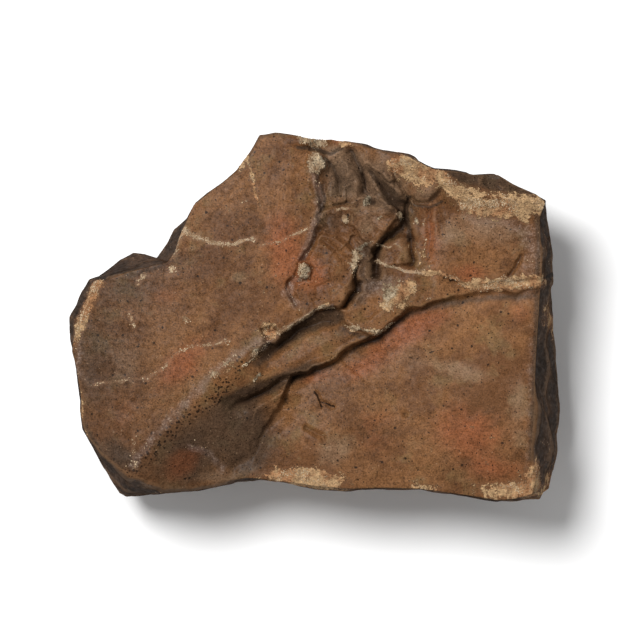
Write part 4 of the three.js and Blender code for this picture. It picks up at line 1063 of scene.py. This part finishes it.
def weathered_stone():
    """The stone's finish: its ground, and over it varnish and soil that are partly painted shade, painted
    shade in hollows, rubbed edges with a painted highlight, pits, frost, crust, lumps and veins.
    """
    rock = Finish("weathered_stone", Roughness=0.6, Specular_IOR_Level=0.0, Coat_Roughness=0.42)
    broad, drift = rock.clouds(24, 3), rock.clouds(11, 3)
    middling, small, grain = rock.clouds(5, 4, 0.6), rock.clouds(1.5, 4, 0.65), rock.clouds(0.5, 3, 0.7)
    vein, crust, bulge = rock.painted("vein"), rock.painted("crust"), rock.painted("bulge")

    colour = ground_colour(rock, broad, drift, middling, 1.2 * small + 2.7 * grain)
    # Dark varnish down the walls, partly painted shade of the walls that turn away from the light
    varnish_and_shade = (rock.painted("wall") + 3.5 * middling + 1.5 * broad).between(-0.8, 1.0)
    shaded_varnish = varnish_and_shade_colour(rock, broad, middling, 1.6 * small + 0.9 * grain)
    colour = rock.blend(varnish_and_shade * 0.93, colour, shaded_varnish)

    # Painted shade, with soil, in broad hollows
    basin_shade = (rock.painted("basin_shade") + small).between(0.3, 2.2)
    colour = rock.blend(basin_shade * 0.55, colour, tone("soil and shade"))
    # Painted shade in small hollows and creases
    hollow_shade = (0.6 * small - bulge).between(0.1, 0.9)
    colour = rock.blend(hollow_shade * 0.65, colour, tone("hollow_shade"))
    # Rubbed edges, partly a painted highlight on convex edges
    rubbed_and_lit = (rock.painted("fine_bulge") * 5 + bulge + 1.4 * small).between(0.35, 1.2)
    colour = rock.blend(rubbed_and_lit * 0.22, colour, tone("rubbed and lit edge"))

    dark = pits_and_cracks(rock, drift, middling, small)
    colour = rock.blend(dark * 0.85, colour, tone("pit"))
    colour = frosted(rock, colour, middling, small, grain)

    dusty = (crust + 0.9 * middling + 0.5 * small).between(0.12, 0.6)
    colour = rock.blend(dusty * 0.4, colour, tone("dust"))
    crusted = (crust + 1.5 * middling + 1.7 * small + 0.8 * grain).between(0.44, 0.66)
    colour = rock.blend(crusted * 0.92, colour, crust_colour(rock, drift, middling, small, grain))
    lumped = (rock.painted("limy") + 1.2 * middling + 1.2 * small).between(0.4, 0.8)
    colour = rock.blend(lumped * 0.85, colour, lump_colour(rock, small, grain))

    halo = (vein + 2 * middling).between(5.0, 0.5)
    colour = rock.blend(halo * 0.22, colour, tone("vein halo"))
    veined = (vein + 4.4 * small + 2.6 * middling + 1.6 * grain).between(1.4, 0.9)
    vein_colour = rock.blend(small.between(-0.15, 0.15), tone("buff vein"), tone("white vein"))
    rock.drive(Base_Color=rock.blend(veined * 0.9, colour, vein_colour))

    pale = crusted.at_least(veined * 0.85).at_least(lumped)
    facing = rock.node("ShaderNodeLayerWeight", {}, {"Blend": 0.5}, "Facing")
    sheen = (1 - facing) * (0.2 - 0.2 * pale + 0.4 * varnish_and_shade) * (0.6 + 2 * small)
    rock.drive(Coat_Weight=sheen.at_least(0.0).at_most(0.8))
    roughness = 0.6 + 0.3 * pale - 0.16 * varnish_and_shade + 0.5 * small + 0.15 * hollow_shade
    rock.drive(Roughness=roughness.at_least(0.34).at_most(0.95))
    height = 0.3 * small + 0.2 * grain + 0.3 * middling - 0.5 * dark
    height = height + pale * (0.5 + 2.2 * small + 1.1 * grain)
    rock.drive(Normal=rock.bump(height, 0.6))
    return rock.material


def lime_crumb():
    """The finish of the pale crumbs."""
    lime = Finish("lime_crumb", Roughness=0.92, Specular_IOR_Level=0.0)
    tint = lime.blend(lime.clouds(3, 3).between(-0.15, 0.15), tone("dull crumb"), tone("pale crumb"))
    lime.drive(Base_Color=lime.shade(tint, 1 + 0.8 * lime.clouds(0.4, 2)))
    lime.drive(Normal=lime.bump(lime.clouds(0.35, 2), 0.2))
    return lime.material


# ------------------------------------------------------------------ crumbs of lime


def crumb_tree(material):
    """Scatters small lumpy crumbs over a mesh where it is painted crumbly."""
    tree = bpy.data.node_groups.new("lime_crumbs", "GeometryNodeTree")
    ports = {"Stone": "Geometry", "Crumb Radius": "Float", "Crumbs per Area": "Float", "Seed": "Int"}
    for name, kind in ports.items():
        tree.interface.new_socket(name, in_out="INPUT", socket_type="NodeSocket" + kind)
    tree.interface.new_socket("Crumbs", in_out="OUTPUT", socket_type="NodeSocketGeometry")
    nodes = Nodes(tree)
    stone_mesh, radius, per_area, seed = [nodes.node("NodeGroupInput", {}, {}, name) for name in ports]
    crumbly = {"Name": "crumbly"}
    cover = nodes.node("GeometryNodeInputNamedAttribute", {"data_type": "FLOAT"}, crumbly, "Attribute")
    spread = {"Mesh": stone_mesh, "Density": per_area * cover, "Seed": seed}
    spots = nodes.node("GeometryNodeDistributePointsOnFaces", {}, spread, "Points")
    ball = nodes.node("GeometryNodeMeshIcoSphere", {}, {"Radius": radius, "Subdivisions": 1}, "Mesh")
    lumps = nodes.node("ShaderNodeTexNoise", {}, {"Scale": 2300.0, "Detail": 0.0}, "Color")
    centred = nodes.node("ShaderNodeVectorMath", {"operation": "SUBTRACT"}, {0: lumps, 1: (0.5, 0.5, 0.5)})
    push = nodes.node("ShaderNodeVectorMath", {"operation": "SCALE"}, {0: centred, "Scale": radius * 1.5})
    lumpy = nodes.node("GeometryNodeSetPosition", {}, {"Geometry": ball, "Offset": push})
    any_turn = {1: (math.tau,) * 3, "Seed": 3}
    turn = nodes.node("FunctionNodeRandomValue", {"data_type": "FLOAT_VECTOR"}, any_turn)
    any_size = {0: (0.35,) * 3, 1: (1.2,) * 3, "Seed": 5}
    size = nodes.node("FunctionNodeRandomValue", {"data_type": "FLOAT_VECTOR"}, any_size)
    set_down = {"Points": spots, "Instance": lumpy, "Rotation": turn, "Scale": size}
    placed = nodes.node("GeometryNodeInstanceOnPoints", {}, set_down)
    real = nodes.node("GeometryNodeRealizeInstances", {}, {"Geometry": placed})
    finished = nodes.node("GeometryNodeSetMaterial", {}, {"Geometry": real, "Material": material})
    nodes.node("NodeGroupOutput", {}, {"Crumbs": finished})
    return tree


def crumbs_on(piece, name, inputs):
    """The crumbs of lime that stand on a painted piece, as a piece of their own."""
    crumbs = bpy.data.objects.new(name, piece.data.copy())
    bpy.context.scene.collection.objects.link(crumbs)
    scatter = crumbs.modifiers.new("scatter", "NODES")
    scatter.node_group = crumb_tree(lime_crumb())
    for socket in scatter.node_group.interface.items_tree:
        if socket.name in inputs:
            scatter[socket.identifier] = inputs[socket.name]
    view = bpy.context.evaluated_depsgraph_get()
    scattered = bpy.data.meshes.new_from_object(crumbs.evaluated_get(view))
    crumbs.modifiers.clear()
    crumbs.data = scattered
    return crumbs


# In metres and crumbs per square metre
CRUMB_INPUTS = {"Crumb Radius": 0.27e-3, "Crumbs per Area": 15e6, "Seed": 11}

stone = painted_stone()
stone.data.materials.append(weathered_stone())
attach(stone, "root")
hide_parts("meteorite")

crumbs = crumbs_on(stone, "lime_crumbs", CRUMB_INPUTS)
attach(crumbs, "root")

# ------------------------------------------------------------------ floor, light and camera

# In metres and watts; the floor lies just under the plane that the stone rests on
FLOOR_HALF = 3
FLOOR_HEIGHT = -0.0001
PAPER_WHITE = (0.96, 0.96, 0.96, 1)
ROOM_LIGHT = 0.35
LAMP_PLACE = (-0.32, 0.3, 1.08)
LAMP_AIM = (0, 0, 0.03)
LAMP_WIDTH = 0.4
LAMP_POWER = 15.2
CAMERA_PLACE = (0.0013, -0.0005, 1.6)
LENS_MM = 263.6


def pale_floor():
    sides = np.array([(-1, -1, 0), (1, -1, 0), (1, 1, 0), (-1, 1, 0)])
    floor = new_mesh_piece("floor", FLOOR_HALF * sides + (0, 0, FLOOR_HEIGHT), [(0, 1, 2, 3)])
    paper = Finish("floor_paper", Base_Color=PAPER_WHITE, Roughness=0.9)
    floor.data.materials.append(paper.material)


def studio_light():
    world = bpy.data.worlds.new("room")
    world.use_nodes = True
    world.node_tree.nodes["Background"].inputs["Color"].default_value = (1, 1, 1, 1)
    world.node_tree.nodes["Background"].inputs["Strength"].default_value = ROOM_LIGHT
    bpy.context.scene.world = world
    lamp = bpy.data.lights.new("overhead", "AREA")
    lamp.shape = "DISK"
    lamp.size = LAMP_WIDTH
    lamp.energy = LAMP_POWER
    overhead = bpy.data.objects.new("overhead", lamp)
    overhead.location = LAMP_PLACE
    overhead.rotation_euler = (Vector(LAMP_AIM) - overhead.location).to_track_quat("-Z", "Y").to_euler()
    bpy.context.scene.collection.objects.link(overhead)


def camera_above():
    bpy.context.scene.view_settings.view_transform = "Standard"
    lens = bpy.data.cameras.new("camera")
    lens.lens = LENS_MM
    lens.sensor_width = 36
    lens.clip_start = 0.05
    lens.clip_end = 20
    camera = bpy.data.objects.new("camera", lens)
    camera.location = CAMERA_PLACE
    bpy.context.scene.collection.objects.link(camera)
    bpy.context.scene.camera = camera


pale_floor()
studio_light()
camera_above()
